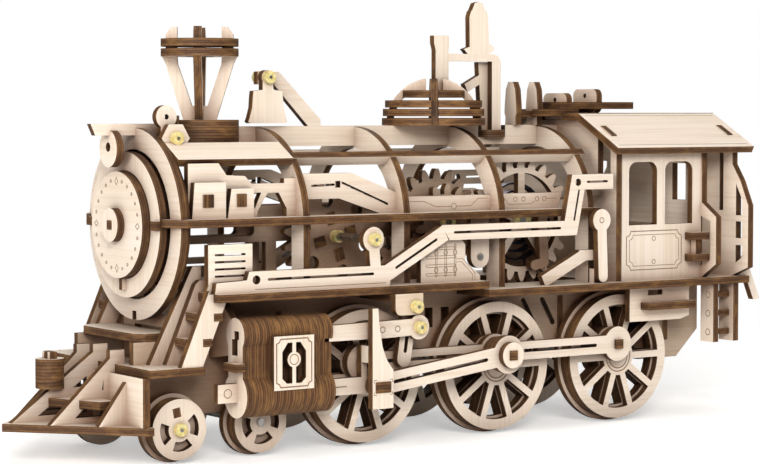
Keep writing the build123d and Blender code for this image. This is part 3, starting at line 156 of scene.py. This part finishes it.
def birch_sheet(name, value, warmth, reach):
    """Sanded birch veneer: fine streaks along the grain, soft bands, short flecks."""
    material, tree, shader = new_material(name)
    sheet = attribute(tree, "sheet").outputs["Vector"]
    seed = attribute(tree, "seed").outputs["Fac"]
    streaks = noise(tree, stretched(tree, sheet, (18.0, 900.0, 0.0), seed), 1.0, 4.0, 0.62)
    bands = noise(tree, stretched(tree, sheet, (7.0, 90.0, 0.0), seed), 1.0, 2.0)
    flecks = noise(tree, stretched(tree, sheet, (260.0, 2600.0, 0.0), seed), 1.0, 2.0, 0.7)
    base = ramp(tree, bands, ((0.30, (236, 219, 200)), (0.55, (243, 229, 213)), (0.78, (246, 234, 221))))
    dark = ramp(tree, streaks, ((0.34, (218, 193, 165)), (0.52, (241, 226, 209)), (0.70, (248, 237, 225))))
    tone = mix(tree, 0.35, base, dark)
    fleck_mask = maths(tree, "GREATER_THAN", flecks, 0.69)
    tone = mix(tree, maths(tree, "MULTIPLY", fleck_mask, 0.16), tone, (190, 156, 124))
    piece = maths(tree, "MULTIPLY", maths(tree, "SUBTRACT", seed, 0.5), 0.08)
    # value and warmth set the brightness and saturation of this copy; dimmed and warmed, they give the inner
    # copy its painted shade
    shade = add(tree, "ShaderNodeHueSaturation")
    link(tree, tone, shade.inputs["Color"])
    link(tree, maths(tree, "ADD", piece, value), shade.inputs["Value"])
    shade.inputs["Saturation"].default_value = warmth
    # painted shade: the sheet darkens towards brown (116, 78, 50) in gaps and behind other sheets
    link(tree, shaded(tree, shade.outputs[0], reach, (116, 78, 50)), shader.inputs["Base Color"])
    rough = maths(tree, "ADD", maths(tree, "MULTIPLY", streaks, 0.22), 0.46)
    link(tree, rough, shader.inputs["Roughness"])
    shader.inputs["Specular IOR Level"].default_value = 0.32
    bump(tree, shader, streaks, 0.25, 0.00012)
    return material


def birch_edge(name, scorched, highlight_share):
    """Laser-cut plywood edge: scorched layers, with glue lines and cutting striations, and golden patches of
    painted highlight.
    """
    material, tree, shader = new_material(name)
    sheet = attribute(tree, "sheet").outputs["Vector"]
    seed = attribute(tree, "seed").outputs["Fac"]
    split = add(tree, "ShaderNodeSeparateXYZ")
    link(tree, sheet, split.inputs[0])
    waver = noise(tree, stretched(tree, sheet, (160.0, 160.0, 0.0), seed), 1.0, 2.0)
    wave = maths(tree, "MULTIPLY", maths(tree, "SUBTRACT", waver, 0.5), 0.10)
    depth = maths(tree, "ADD", split.outputs["Z"], wave)
    layers = ramp(tree, depth, (
        (0.00, (70, 47, 31)), (0.07, (112, 78, 50)), (0.22, (140, 101, 64)), (0.31, (84, 57, 37)),
        (0.36, (58, 39, 27)), (0.45, (100, 68, 44)), (0.58, (106, 73, 47)), (0.66, (60, 40, 28)),
        (0.78, (142, 103, 64)), (0.92, (114, 80, 51)), (1.00, (68, 46, 31))))
    scorch = noise(tree, stretched(tree, sheet, (900.0, 900.0, 5.0), seed), 1.0, 3.0, 0.6)
    highlight_patch = noise(tree, stretched(tree, sheet, (120.0, 120.0, 1.2), seed), 1.0, 3.0, 0.6)
    tone = mix(tree, maths(tree, "MULTIPLY", scorch, scorched), layers, (66, 44, 29))
    # painted highlight: golden lit-edge colour (176, 132, 78) laid in noise patches over a share of the edge
    golden_highlight = add(tree, "ShaderNodeMapRange", interpolation_type="SMOOTHSTEP")
    golden_highlight.inputs["From Min"].default_value = 0.42
    golden_highlight.inputs["From Max"].default_value = 0.78
    golden_highlight.inputs["To Max"].default_value = highlight_share
    link(tree, highlight_patch, golden_highlight.inputs["Value"])
    tone = mix(tree, golden_highlight.outputs["Result"], tone, (176, 132, 78))
    # painted shade: the edge darkens towards grey-brown (96, 74, 60) in gaps and behind other sheets
    link(tree, shaded(tree, tone, EDGE_REACH, (96, 74, 60)), shader.inputs["Base Color"])
    link(tree, maths(tree, "ADD", maths(tree, "MULTIPLY", scorch, 0.2), 0.5), shader.inputs["Roughness"])
    shader.inputs["Specular IOR Level"].default_value = 0.25
    bump(tree, shader, scorch, 0.35, 0.00015)
    return material


def steel_wire():
    """Drawn steel pin with fine circumferential marks."""
    material, tree, shader = new_material("steel_wire")
    place = add(tree, "ShaderNodeNewGeometry").outputs["Position"]
    marks = noise(tree, place, 2600.0, 3.0)
    stain = noise(tree, place, 320.0, 2.0)
    metal = ramp(tree, stain, ((0.3, (142, 140, 136)), (0.7, (196, 195, 192))))
    link(tree, metal, shader.inputs["Base Color"])
    shader.inputs["Metallic"].default_value = 1.0
    link(tree, maths(tree, "ADD", maths(tree, "MULTIPLY", marks, 0.25), 0.2), shader.inputs["Roughness"])
    bump(tree, shader, marks, 0.12, 0.00005)
    return material


def spring_steel():
    """Blued spring strip."""
    material, tree, shader = new_material("spring_steel")
    place = add(tree, "ShaderNodeNewGeometry").outputs["Position"]
    heat = noise(tree, place, 180.0, 3.0)
    blueing = ramp(tree, heat, ((0.3, (30, 32, 42)), (0.6, (52, 58, 78)), (0.8, (74, 70, 76))))
    link(tree, blueing, shader.inputs["Base Color"])
    shader.inputs["Metallic"].default_value = 0.9
    link(tree, maths(tree, "ADD", maths(tree, "MULTIPLY", heat, 0.3), 0.2), shader.inputs["Roughness"])
    bump(tree, shader, noise(tree, place, 2400.0, 2.0), 0.1, 0.00004)
    return material


def wax_cap():
    """Pale yellow push-on cap, slightly cloudy."""
    material, tree, shader = new_material("wax_cap")
    place = add(tree, "ShaderNodeNewGeometry").outputs["Position"]
    cloud = noise(tree, place, 700.0, 3.0)
    wax = ramp(tree, cloud, ((0.3, (206, 186, 112)), (0.7, (240, 228, 170))))
    link(tree, wax, shader.inputs["Base Color"])
    shader.inputs["Subsurface Weight"].default_value = 0.25
    shader.inputs["Subsurface Scale"].default_value = 0.0008
    link(tree, maths(tree, "ADD", maths(tree, "MULTIPLY", cloud, 0.25), 0.28), shader.inputs["Roughness"])
    bump(tree, shader, cloud, 0.08, 0.00005)
    return material


def laser_line():
    """Shallow laser engraving, scorched grey-brown."""
    material, tree, shader = new_material("laser_line")
    place = add(tree, "ShaderNodeNewGeometry").outputs["Position"]
    char = noise(tree, place, 1400.0, 3.0)
    burn = ramp(tree, char, ((0.3, (104, 78, 58)), (0.7, (158, 128, 100))))
    link(tree, burn, shader.inputs["Base Color"])
    link(tree, maths(tree, "ADD", maths(tree, "MULTIPLY", char, 0.2), 0.65), shader.inputs["Roughness"])
    bump(tree, shader, char, 0.3, 0.0001)
    return material


FLOOR_GLOW = 0.45
# distance from the origin, in metres, over which the paper turns to plain white
FADE_START = 0.22
FADE_END = 0.55


def floor_paper():
    """White paper that fades into the white background away from the model."""
    material, tree, shader = new_material("floor_paper")
    place = add(tree, "ShaderNodeNewGeometry").outputs["Position"]
    fibre = noise(tree, place, 60.0, 3.0)
    tone = ramp(tree, fibre, ((0.2, (244, 244, 244)), (0.8, (250, 250, 250))))
    link(tree, tone, shader.inputs["Base Color"])
    shader.inputs["Roughness"].default_value = 0.85
    shader.inputs["Specular IOR Level"].default_value = 0.1
    seen = add(tree, "ShaderNodeLightPath").outputs["Is Camera Ray"]
    link(tree, tone, shader.inputs["Emission Color"])
    link(tree, maths(tree, "MULTIPLY", seen, FLOOR_GLOW), shader.inputs["Emission Strength"])
    distance = add(tree, "ShaderNodeVectorMath", operation="LENGTH")
    link(tree, place, distance.inputs[0])
    fade = add(tree, "ShaderNodeMapRange", interpolation_type="SMOOTHSTEP")
    fade.inputs["From Min"].default_value = FADE_START
    fade.inputs["From Max"].default_value = FADE_END
    link(tree, distance.outputs["Value"], fade.inputs["Value"])
    white = add(tree, "ShaderNodeEmission", Strength=1.0)
    white.inputs["Color"].default_value = (1.0, 1.0, 1.0, 1.0)
    blend = tree.nodes.new("ShaderNodeMixShader")
    link(tree, maths(tree, "MULTIPLY", fade.outputs["Result"], seen), blend.inputs[0])
    link(tree, shader.outputs[0], blend.inputs[1])
    link(tree, white.outputs[0], blend.inputs[2])
    link(tree, blend.outputs[0], tree.nodes["Material Output"].inputs["Surface"])
    return material


# ---------- which faces are sheet, edge, pin or cap ----------

def mesh_arrays(mesh):
    points = np.zeros(len(mesh.vertices) * 3)
    mesh.vertices.foreach_get("co", points)
    corners = np.zeros(len(mesh.loops), int)
    mesh.loops.foreach_get("vertex_index", corners)
    starts = np.zeros(len(mesh.polygons), int)
    mesh.polygons.foreach_get("loop_start", starts)
    totals = np.zeros(len(mesh.polygons), int)
    mesh.polygons.foreach_get("loop_total", totals)
    normals = np.zeros(len(mesh.polygons) * 3)
    mesh.polygons.foreach_get("normal", normals)
    areas = np.zeros(len(mesh.polygons))
    mesh.polygons.foreach_get("area", areas)
    return points.reshape(-1, 3), corners, starts, totals, normals.reshape(-1, 3), areas


def closed_shells(points, corners, starts, totals):
    """Polygon index groups, one per closed solid: a shell ends when every edge has met its opposite."""
    _, keys = np.unique(np.round(points / 1e-6).astype(np.int64), axis=0, return_inverse=True)
    keys = keys.ravel()[corners]
    shells = []
    current = []
    loose = {}
    for index in range(len(starts)):
        ring = keys[starts[index]:starts[index] + totals[index]]
        current.append(index)
        for a, b in zip(ring, np.roll(ring, -1)):
            if a == b:
                continue
            if loose.get((b, a), 0):
                loose[(b, a)] -= 1
                if not loose[(b, a)]:
                    del loose[(b, a)]
            else:
                loose[(a, b)] = loose.get((a, b), 0) + 1
        if not loose:
            shells.append(np.array(current))
            current = []
    if current:
        shells.append(np.array(current))
    return shells


SHEET, EDGE, STEEL, WAX, SPRING = range(5)
STACKED_NODES = ("cylinder_slices", "dome_tiers", "chimney_base")
# parts deep inside the model, which get a dimmer, browner copy of the sheet as painted shade
SHADED_INNER_NODES = ("main_frames", "gear_frames", "frame_ties", "gear_lower", "gear_second", "gear_disc",
               "cylinder_saddles", "pawl")
THROUGH_AXIS = {"smokebox_door": 0}
PIN_RADIUS = 2.2 * MM
CAP_RADIUS = 4.3 * MM
SLIM_CAP_RADIUS = 3.45 * MM
CAP_HEIGHT = 2.45 * MM
TENON_SIZE = 9.0 * MM
ROUND_CORNERS = 16


def roundness(points):
    """Radius if the solid is round about Y, else None."""
    size = np.ptp(points, axis=0)
    if abs(size[0] - size[2]) > 0.05 * size[0]:
        return None
    middle = (points.max(axis=0) + points.min(axis=0)) / 2
    reach = np.hypot(points[:, 0] - middle[0], points[:, 2] - middle[2]).max()
    corners = len(np.unique(np.round(points / 1e-6).astype(np.int64), axis=0))
    return reach if reach < 1.03 * size[0] / 2 and corners > ROUND_CORNERS else None


def plate_normal(name, points, normals, areas):
    """Direction of the sheet's thickness."""
    size = np.ptp(points, axis=0)
    corners = len(np.unique(np.round(points / 1e-6).astype(np.int64), axis=0))
    if corners == 8 and size.max() < TENON_SIZE:
        through = THROUGH_AXIS.get(name, 1)
        others = [axis for axis in (2, 0, 1) if axis != through]
        thin = min(others, key=lambda axis: size[axis] + 1e-5 * (axis != 2))
        return np.eye(3)[thin]
    scatter = (normals * areas[:, None]).T @ normals
    values, vectors = np.linalg.eigh(scatter)
    return vectors[:, -1]


def solid_kind(name, points):
    if name == "mainspring":
        return SPRING
    radius = roundness(points)
    if radius is None:
        return SHEET
    height = np.ptp(points[:, 1])
    if radius < PIN_RADIUS and height > 1.4 * radius:
        return STEEL
    if radius < SLIM_CAP_RADIUS or (radius < CAP_RADIUS and height < CAP_HEIGHT):
        return WAX
    return SHEET


def sheet_axes(normal, points):
    """Grain and cross-grain directions in the plane of the sheet."""
    guide = np.eye(3)[int(np.argmin(np.abs(normal)))]
    first = np.cross(normal, guide)
    first /= np.linalg.norm(first)
    second = np.cross(normal, first)
    if np.ptp(points @ first) < np.ptp(points @ second):
        first, second = second, -first
    return first, second


def dress(name, obj, materials):
    """Give every solid of a node its sheet coordinates and its materials."""
    mesh = obj.data
    points, corners, starts, totals, normals, areas = mesh_arrays(mesh)
    mesh.materials.clear()
    for material in materials:
        mesh.materials.append(material)
    index = np.zeros(len(starts), np.int32)
    sheet = np.zeros((len(corners), 3), np.float32)
    seeds = np.zeros(len(corners), np.float32)
    salt = sum(ord(letter) * (place + 1) for place, letter in enumerate(name))
    for number, shell in enumerate(closed_shells(points, corners, starts, totals)):
        loops = np.concatenate([np.arange(starts[i], starts[i] + totals[i]) for i in shell])
        solid = points[corners[loops]]
        normal = plate_normal(name, solid, normals[shell], areas[shell])
        grain, cross = sheet_axes(normal, solid)
        depth = solid @ normal
        thickness = np.ptp(depth)
        plies = max(1, round(thickness / PLY))
        sheet[loops, 0] = solid @ grain
        sheet[loops, 1] = solid @ cross
        sheet[loops, 2] = (depth - depth.min()) / thickness * plies
        seeds[loops] = (math.sin(salt * 12.9898 + number * 78.233) * 43758.5453) % 1.0
        kind = solid_kind(name, solid)
        facing = np.abs(normals[shell] @ normal) > 0.9
        index[shell] = np.where(facing, SHEET, EDGE) if kind == SHEET else kind
    mesh.polygons.foreach_set("material_index", index)
    mesh.attributes.new("sheet", "FLOAT_VECTOR", "CORNER").data.foreach_set("vector", sheet.ravel())
    mesh.attributes.new("seed", "FLOAT", "CORNER").data.foreach_set("value", seeds)


# ---------- floor, light and camera ----------

FLOOR_REACH = 6.0


def build_stage(low, high):
    centre = (low + high) / 2
    mesh = bpy.data.meshes.new("floor")
    corners = [(centre.x + sx * FLOOR_REACH, centre.y + sy * FLOOR_REACH, low.z)
               for sx, sy in ((-1, -1), (1, -1), (1, 1), (-1, 1))]
    mesh.from_pydata(corners, [], [(0, 1, 2, 3)])
    floor = bpy.data.objects.new("floor", mesh)
    mesh.materials.append(floor_paper())
    bpy.context.scene.collection.objects.link(floor)


def area_light(name, place, target, size, power, colour):
    data = bpy.data.lights.new(name, "AREA")
    data.size = size
    data.energy = power
    data.color = colour
    light = bpy.data.objects.new(name, data)
    light.location = place
    light.rotation_euler = (Vector(target) - Vector(place)).to_track_quat("-Z", "Y").to_euler()
    bpy.context.scene.collection.objects.link(light)


AMBIENT = 0.12
LIGHT_TARGET = (0.0, 0.0, 0.08)


def build_lights():
    area_light("key", (-0.75, -1.3, 0.75), LIGHT_TARGET, 0.6, 19.0, (1.0, 0.965, 0.92))
    area_light("front", (-1.5, -0.5, 0.35), LIGHT_TARGET, 0.8, 10.8, (1.0, 0.95, 0.89))
    area_light("top", (0.1, -0.1, 1.5), LIGHT_TARGET, 1.0, 7.2, (1.0, 0.98, 0.95))
    area_light("rear", (0.9, 1.3, 0.8), LIGHT_TARGET, 1.0, 6.0, (1.0, 0.97, 0.93))
    world = bpy.data.worlds.new("studio")
    bpy.context.scene.world = world
    world.use_nodes = True
    tree = world.node_tree
    background = tree.nodes["Background"]
    background.inputs["Color"].default_value = (1.0, 1.0, 1.0, 1.0)
    seen = add(tree, "ShaderNodeLightPath").outputs["Is Camera Ray"]
    strength = maths(tree, "ADD", maths(tree, "MULTIPLY", seen, 1.0 - AMBIENT), AMBIENT)
    link(tree, strength, background.inputs["Strength"])


CAMERA_PLACE = (-0.5656, -0.7804, 0.1301)
CAMERA_YAW = 34.299
CAMERA_PITCH = 3.059
CAMERA_LENS = 109.82
SENSOR_WIDTH = 36.0


def build_camera():
    data = bpy.data.cameras.new("camera")
    data.lens = CAMERA_LENS
    data.sensor_width = SENSOR_WIDTH
    camera = bpy.data.objects.new("camera", data)
    camera.location = CAMERA_PLACE
    camera.rotation_euler = (math.radians(90 - CAMERA_PITCH), 0.0, math.radians(-CAMERA_YAW))
    bpy.context.scene.collection.objects.link(camera)
    bpy.context.scene.camera = camera
    bpy.context.scene.view_settings.view_transform = "Standard"


# ---------- laser-engraved marks ----------

LINE_RISE = 0.04 * MM
LINE_SINK = 0.03 * MM


# near roof slope in mm: where it starts, and its run and drop to the eave
ROOF_RIDGE_Y = 20.0
ROOF_RIDGE_Z = 128.0
ROOF_RUN = 26.4
ROOF_DROP = 14.3


def side_face(lane):
    """Maps (x, z, height above the face) in mm onto the outer face of a plate on the -Y side."""
    return lambda u, v, rise: (u * MM, -lane * MM - rise, v * MM)


def front_face(x):
    """Maps (y, z, height above the face) in mm onto a face that looks towards the chimney end."""
    return lambda u, v, rise: (x * MM - rise, u * MM, v * MM)


def top_face(z):
    """Maps (x, y, height above the face) in mm onto a level top face."""
    return lambda u, v, rise: (u * MM, v * MM, z * MM + rise)


def roof_face(u, v, rise):
    """(x, distance down the slope from the ridge edge) on the near roof slope."""
    lean = math.atan2(ROOF_DROP, ROOF_RUN)
    return (u * MM, -(ROOF_RIDGE_Y + v * math.cos(lean)) * MM - rise * math.sin(lean),
            (ROOF_RIDGE_Z - v * math.sin(lean)) * MM + rise * math.cos(lean))


def arc(u, v, radius, start=0.0, end=360.0, steps=20):
    turns = [math.radians(start + (end - start) * k / steps) for k in range(steps + 1)]
    return [(u + radius * math.cos(turn), v + radius * math.sin(turn)) for turn in turns]


def frame_line(u0, v0, u1, v1, notch):
    """Rectangle with inward-curved corners."""
    path = []
    for u, v, start in ((u0, v0, 90.0), (u1, v0, 180.0), (u1, v1, 270.0), (u0, v1, 360.0)):
        path += arc(u, v, notch, start, start - 90.0, 6)
    return path + path[:1]


class Engraving:
    """Closed raised ribbons, a few hundredths of a millimetre thick, gathered into one mesh per body."""

    def __init__(self):
        self.points = []
        self.faces = []

    def stroke(self, face, path, width=0.32, mirrored=True):
        """Ribbon of even width along a path of (u, v) points in millimetres."""
        closed = math.dist(path[0], path[-1]) < 1e-6
        count = len(path)
        left, right = [], []
        for k, (u, v) in enumerate(path):
            before = path[k - 1] if k else (path[-2] if closed else path[0])
            after = path[k + 1] if k < count - 1 else (path[1] if closed else path[-1])
            du, dv = after[0] - before[0], after[1] - before[1]
            size = math.hypot(du, dv)
            off = (-dv / size * width / 2, du / size * width / 2)
            left.append((u + off[0], v + off[1]))
            right.append((u - off[0], v - off[1]))
        for flip in ((1, -1) if mirrored else (1,)):
            start = len(self.points)
            for a, b in zip(left, right):
                for (u, v), rise in ((a, LINE_RISE), (b, LINE_RISE), (b, -LINE_SINK), (a, -LINE_SINK)):
                    x, y, z = face(u, v, rise)
                    self.points.append((x, y * flip, z))
            last = count - 1
            for k in range(last):
                p = start + 4 * k
                q = start + 4 * ((k + 1) % last if closed else k + 1)
                for side in range(4):
                    nxt = (side + 1) % 4
                    self.faces.append((p + side, p + nxt, q + nxt, q + side))
            if closed:
                del self.points[-4:]
            else:
                self.faces.append((start, start + 3, start + 2, start + 1))
                p = start + 4 * last
                self.faces.append((p, p + 1, p + 2, p + 3))

    def ring(self, face, u, v, radius, width=0.32, mirrored=True):
        path = arc(u, v, radius)
        self.stroke(face, path[:-1] + path[:1], width, mirrored)

    def build(self, name, body, material):
        mesh = bpy.data.meshes.new(name)
        mesh.from_pydata(self.points, [], self.faces)
        tidy = bmesh.new()
        tidy.from_mesh(mesh)
        bmesh.ops.recalc_face_normals(tidy, faces=tidy.faces)
        tidy.to_mesh(mesh)
        tidy.free()
        mesh.materials.append(material)
        piece = bpy.data.objects.new(name, mesh)
        bpy.context.scene.collection.objects.link(piece)
        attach(piece, body)


# faces that carry engraving, in mm: distance of a plate's outer face from the centre plane, or its x or z
DIAL_X = -154.0
PANEL_LANE = 31.0
WHEEL_LANE = 35.0
PIPEWORK_LANE = 39.8
CAB_LANE = 40.5
RAIL_LANE = 43.2
LEVER_LANE = 44.2
NOSE_LANE = 45.0
PISTON_BAR_LANE = 46.0
VALVE_ROD_LANE = 49.1
BADGE_LANE = 52.0
CROSSHEAD_LANE = 54.0
FRONT_STEP_Z = 35.0
REAR_POST_X = 109.3

BOILER_Z = 86.0
AXLE_Z = 26.0
DRIVER_X = (-64.0, 0.0, 64.0)
DIAL_MARKS = 24
DIAL_MARK_R = 17.0
BADGE_STEM = (-107.4, 36.6)
LEVER_HEAD = (47.2, 84.0)
CROSSHEAD_KEY = (-68.5, 23.7)

# widths of an engraved line in mm
HAIR = 0.2
THIN = 0.22
FINE = 0.25
PLAIN = 0.3
FIRM = 0.35
BOLD = 0.45


def engrave_dial(marks):
    """Ring of small circles, with a diamond at each quarter."""
    face = front_face(DIAL_X)
    for k in range(DIAL_MARKS):
        turn = math.radians(360 / DIAL_MARKS * k)
        c, s = math.cos(turn), math.sin(turn)
        if k % 6:
            marks.ring(face, DIAL_MARK_R * c, BOILER_Z + DIAL_MARK_R * s, 0.5, FIRM, False)
        else:
            corners = ((15.0, 0.0), (16.5, 1.1), (18.0, 0.0), (16.5, -1.1), (15.0, 0.0))
            marks.stroke(face, [(a * c - b * s, BOILER_Z + a * s + b * c) for a, b in corners], 0.4, False)


def engrave_bay_panels(marks):
    panel = side_face(PANEL_LANE)
    marks.stroke(panel, [(-42.0, 93.2), (-33.5, 93.2), (-27.5, 90.9), (-20.0, 90.9)], FINE)
    marks.ring(panel, -18.6, 90.9, 1.2, FINE)
    marks.stroke(panel, [(-17.2, 90.9), (-10.2, 90.9), (-6.6, 93.8), (-1.8, 93.8)], FINE)
    for x in (6.0, 12.4, 16.6, 23.6, 27.4):
        marks.ring(panel, x, 93.0, 0.9, FINE)
    marks.stroke(panel, [(7.4, 93.0), (9.0, 91.0), (20.4, 91.0), (22.4, 92.0)], THIN)
    marks.stroke(panel, [(28.6, 93.0), (34.0, 93.0)], THIN)


def engrave_pipework(marks):
    """Level and upright pipes with round joints, and two pipes that run down to the board."""
    pipework = side_face(PIPEWORK_LANE)
    for z in (64.6, 68.0, 71.4, 74.8):
        marks.stroke(pipework, frame_line(-38.6, z - 0.5, -24.0, z + 0.5, 0.4), HAIR)
    for x in (-33.6, -29.0, -24.4):
        marks.stroke(pipework, frame_line(x - 0.4, 63.6, x + 0.4, 76.4, 0.3), HAIR)
        marks.ring(pipework, x, 73.1, 0.9, HAIR)
        marks.ring(pipework, x, 66.3, 0.9, HAIR)
    marks.stroke(pipework, [(-23.6, 70.4), (-20.6, 70.4), (-17.4, 67.4), (-14.6, 64.6), (-14.6, 61.8)], HAIR)
    marks.stroke(pipework, [(-23.6, 69.2), (-21.2, 69.2), (-18.4, 66.6), (-15.8, 64.0), (-15.8, 61.8)], HAIR)


def engrave_cylinder(marks):
    """Border and stem ring of the badge, and the circle on the nose bar."""
    badge = side_face(BADGE_LANE)
    marks.stroke(badge, frame_line(-115.1, 26.4, -99.7, 44.4, 1.6), BOLD)
    marks.ring(badge, *BADGE_STEM, 1.9, PLAIN)
    marks.ring(side_face(NOSE_LANE), -132.0, 24.7, 1.6)


def engrave_cab(marks):
    """Plain double border with two small circles, and no lettering."""
    cab = side_face(CAB_LANE)
    marks.stroke(cab, frame_line(63.6, 62.4, 94.0, 78.6, 2.2), FIRM)
    marks.stroke(cab, frame_line(65.2, 64.0, 92.4, 77.0, 2.0), THIN)
    marks.ring(cab, 78.6, 75.4, 0.9, FINE)
    marks.ring(cab, 78.6, 65.6, 0.9, FINE)


def engrave_steps(marks):
    step = top_face(FRONT_STEP_Z)
    for x in (-158.5, -152.0, -146.0):
        marks.stroke(step, [(x, -30.0), (x, -27.2)], PLAIN)
        marks.stroke(step, [(x, -40.5), (x, -38.4)], PLAIN)
    post = front_face(REAR_POST_X)
    for z in (34.2, 42.2, 50.2):
        marks.ring(post, -40.6, z, 1.3)


def engrave_body(marks):
    engrave_dial(marks)
    engrave_bay_panels(marks)
    engrave_pipework(marks)
    engrave_cylinder(marks)
    marks.stroke(side_face(RAIL_LANE), [(-119.0, 62.7), (-60.0, 62.7)], FINE)
    engrave_cab(marks)
    engrave_steps(marks)
    for down in (2.4, 27.6):
        marks.stroke(roof_face, [(56.0, down), (128.0, down)], THIN)


def engrave_wheel(marks, x):
    face = side_face(WHEEL_LANE)
    for radius, start in ((5.0, 150.0), (6.4, 165.0)):
        marks.stroke(face, arc(x, AXLE_Z, radius, start, start + 210.0), BOLD)


def engrave_lever(marks):
    marks.ring(side_face(LEVER_LANE), *LEVER_HEAD, 1.1, PLAIN, False)


def engrave_valve_rods(marks):
    for x in (-58.5, -65.5):
        marks.ring(side_face(VALVE_ROD_LANE), x, 45.2, 1.1)


def engrave_crossheads(marks):
    """Line along the piston bar, and a bracket at each corner of the key."""
    marks.stroke(side_face(PISTON_BAR_LANE), [(-87.5, 24.0), (-80.0, 24.0)], 0.4)
    plate = side_face(CROSSHEAD_LANE)
    for du, dv in ((1, 1), (1, -1), (-1, 1), (-1, -1)):
        u, v = CROSSHEAD_KEY[0] + 4.2 * du, CROSSHEAD_KEY[1] + 2.9 * dv
        marks.stroke(plate, [(u, v - 1.1 * dv), (u, v), (u - 1.1 * du, v)], FINE)


def engrave_all():
    line = laser_line()
    jobs = (("marks_chassis", "chassis", engrave_body),
            ("marks_wheels_front", "wheelset_front", lambda marks: engrave_wheel(marks, DRIVER_X[0])),
            ("marks_wheels_middle", "wheelset_middle", lambda marks: engrave_wheel(marks, DRIVER_X[1])),
            ("marks_wheels_rear", "wheelset_rear", lambda marks: engrave_wheel(marks, DRIVER_X[2])),
            ("marks_lever", "lever", engrave_lever),
            ("marks_valve_rods", "valve_slides", engrave_valve_rods),
            ("marks_crossheads", "crosshead_slides", engrave_crossheads))
    for name, body, draw in jobs:
        marks = Engraving()
        draw(marks)
        marks.build(name, body, line)


# ---------- the scene ----------

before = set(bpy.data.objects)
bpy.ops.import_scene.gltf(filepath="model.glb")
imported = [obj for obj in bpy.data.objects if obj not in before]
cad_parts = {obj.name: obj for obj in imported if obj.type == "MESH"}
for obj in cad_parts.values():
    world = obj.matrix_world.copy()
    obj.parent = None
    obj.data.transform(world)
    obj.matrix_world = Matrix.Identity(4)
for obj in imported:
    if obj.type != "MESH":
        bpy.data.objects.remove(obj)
CAD_LOW, CAD_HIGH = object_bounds()

# the last number is the share of each edge given golden painted highlight
PLAIN_EDGE = birch_edge("birch_edge", 1.0, 0.35)
STACK_EDGE = birch_edge("birch_edge_stack", 0.45, 0.5)
FITTINGS = [steel_wire(), wax_cap(), spring_steel()]
# two copies of one birch sheet: the inner one is dimmer, browner and darkened further into gaps, as painted
# shade
OUTER_SHEET = birch_sheet("birch_sheet", 1.02, 0.95, SHEET_REACH)
SHADED_INNER_SHEET = birch_sheet("birch_sheet_inner_shaded", 0.88, 1.3, INNER_REACH)
for node_name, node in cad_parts.items():
    sheet_look = SHADED_INNER_SHEET if node_name in SHADED_INNER_NODES else OUTER_SHEET
    edge_look = STACK_EDGE if node_name in STACKED_NODES else PLAIN_EDGE
    dress(node_name, node, [sheet_look, edge_look] + FITTINGS)

engrave_all()
build_stage(CAD_LOW, CAD_HIGH)
build_lights()
build_camera()
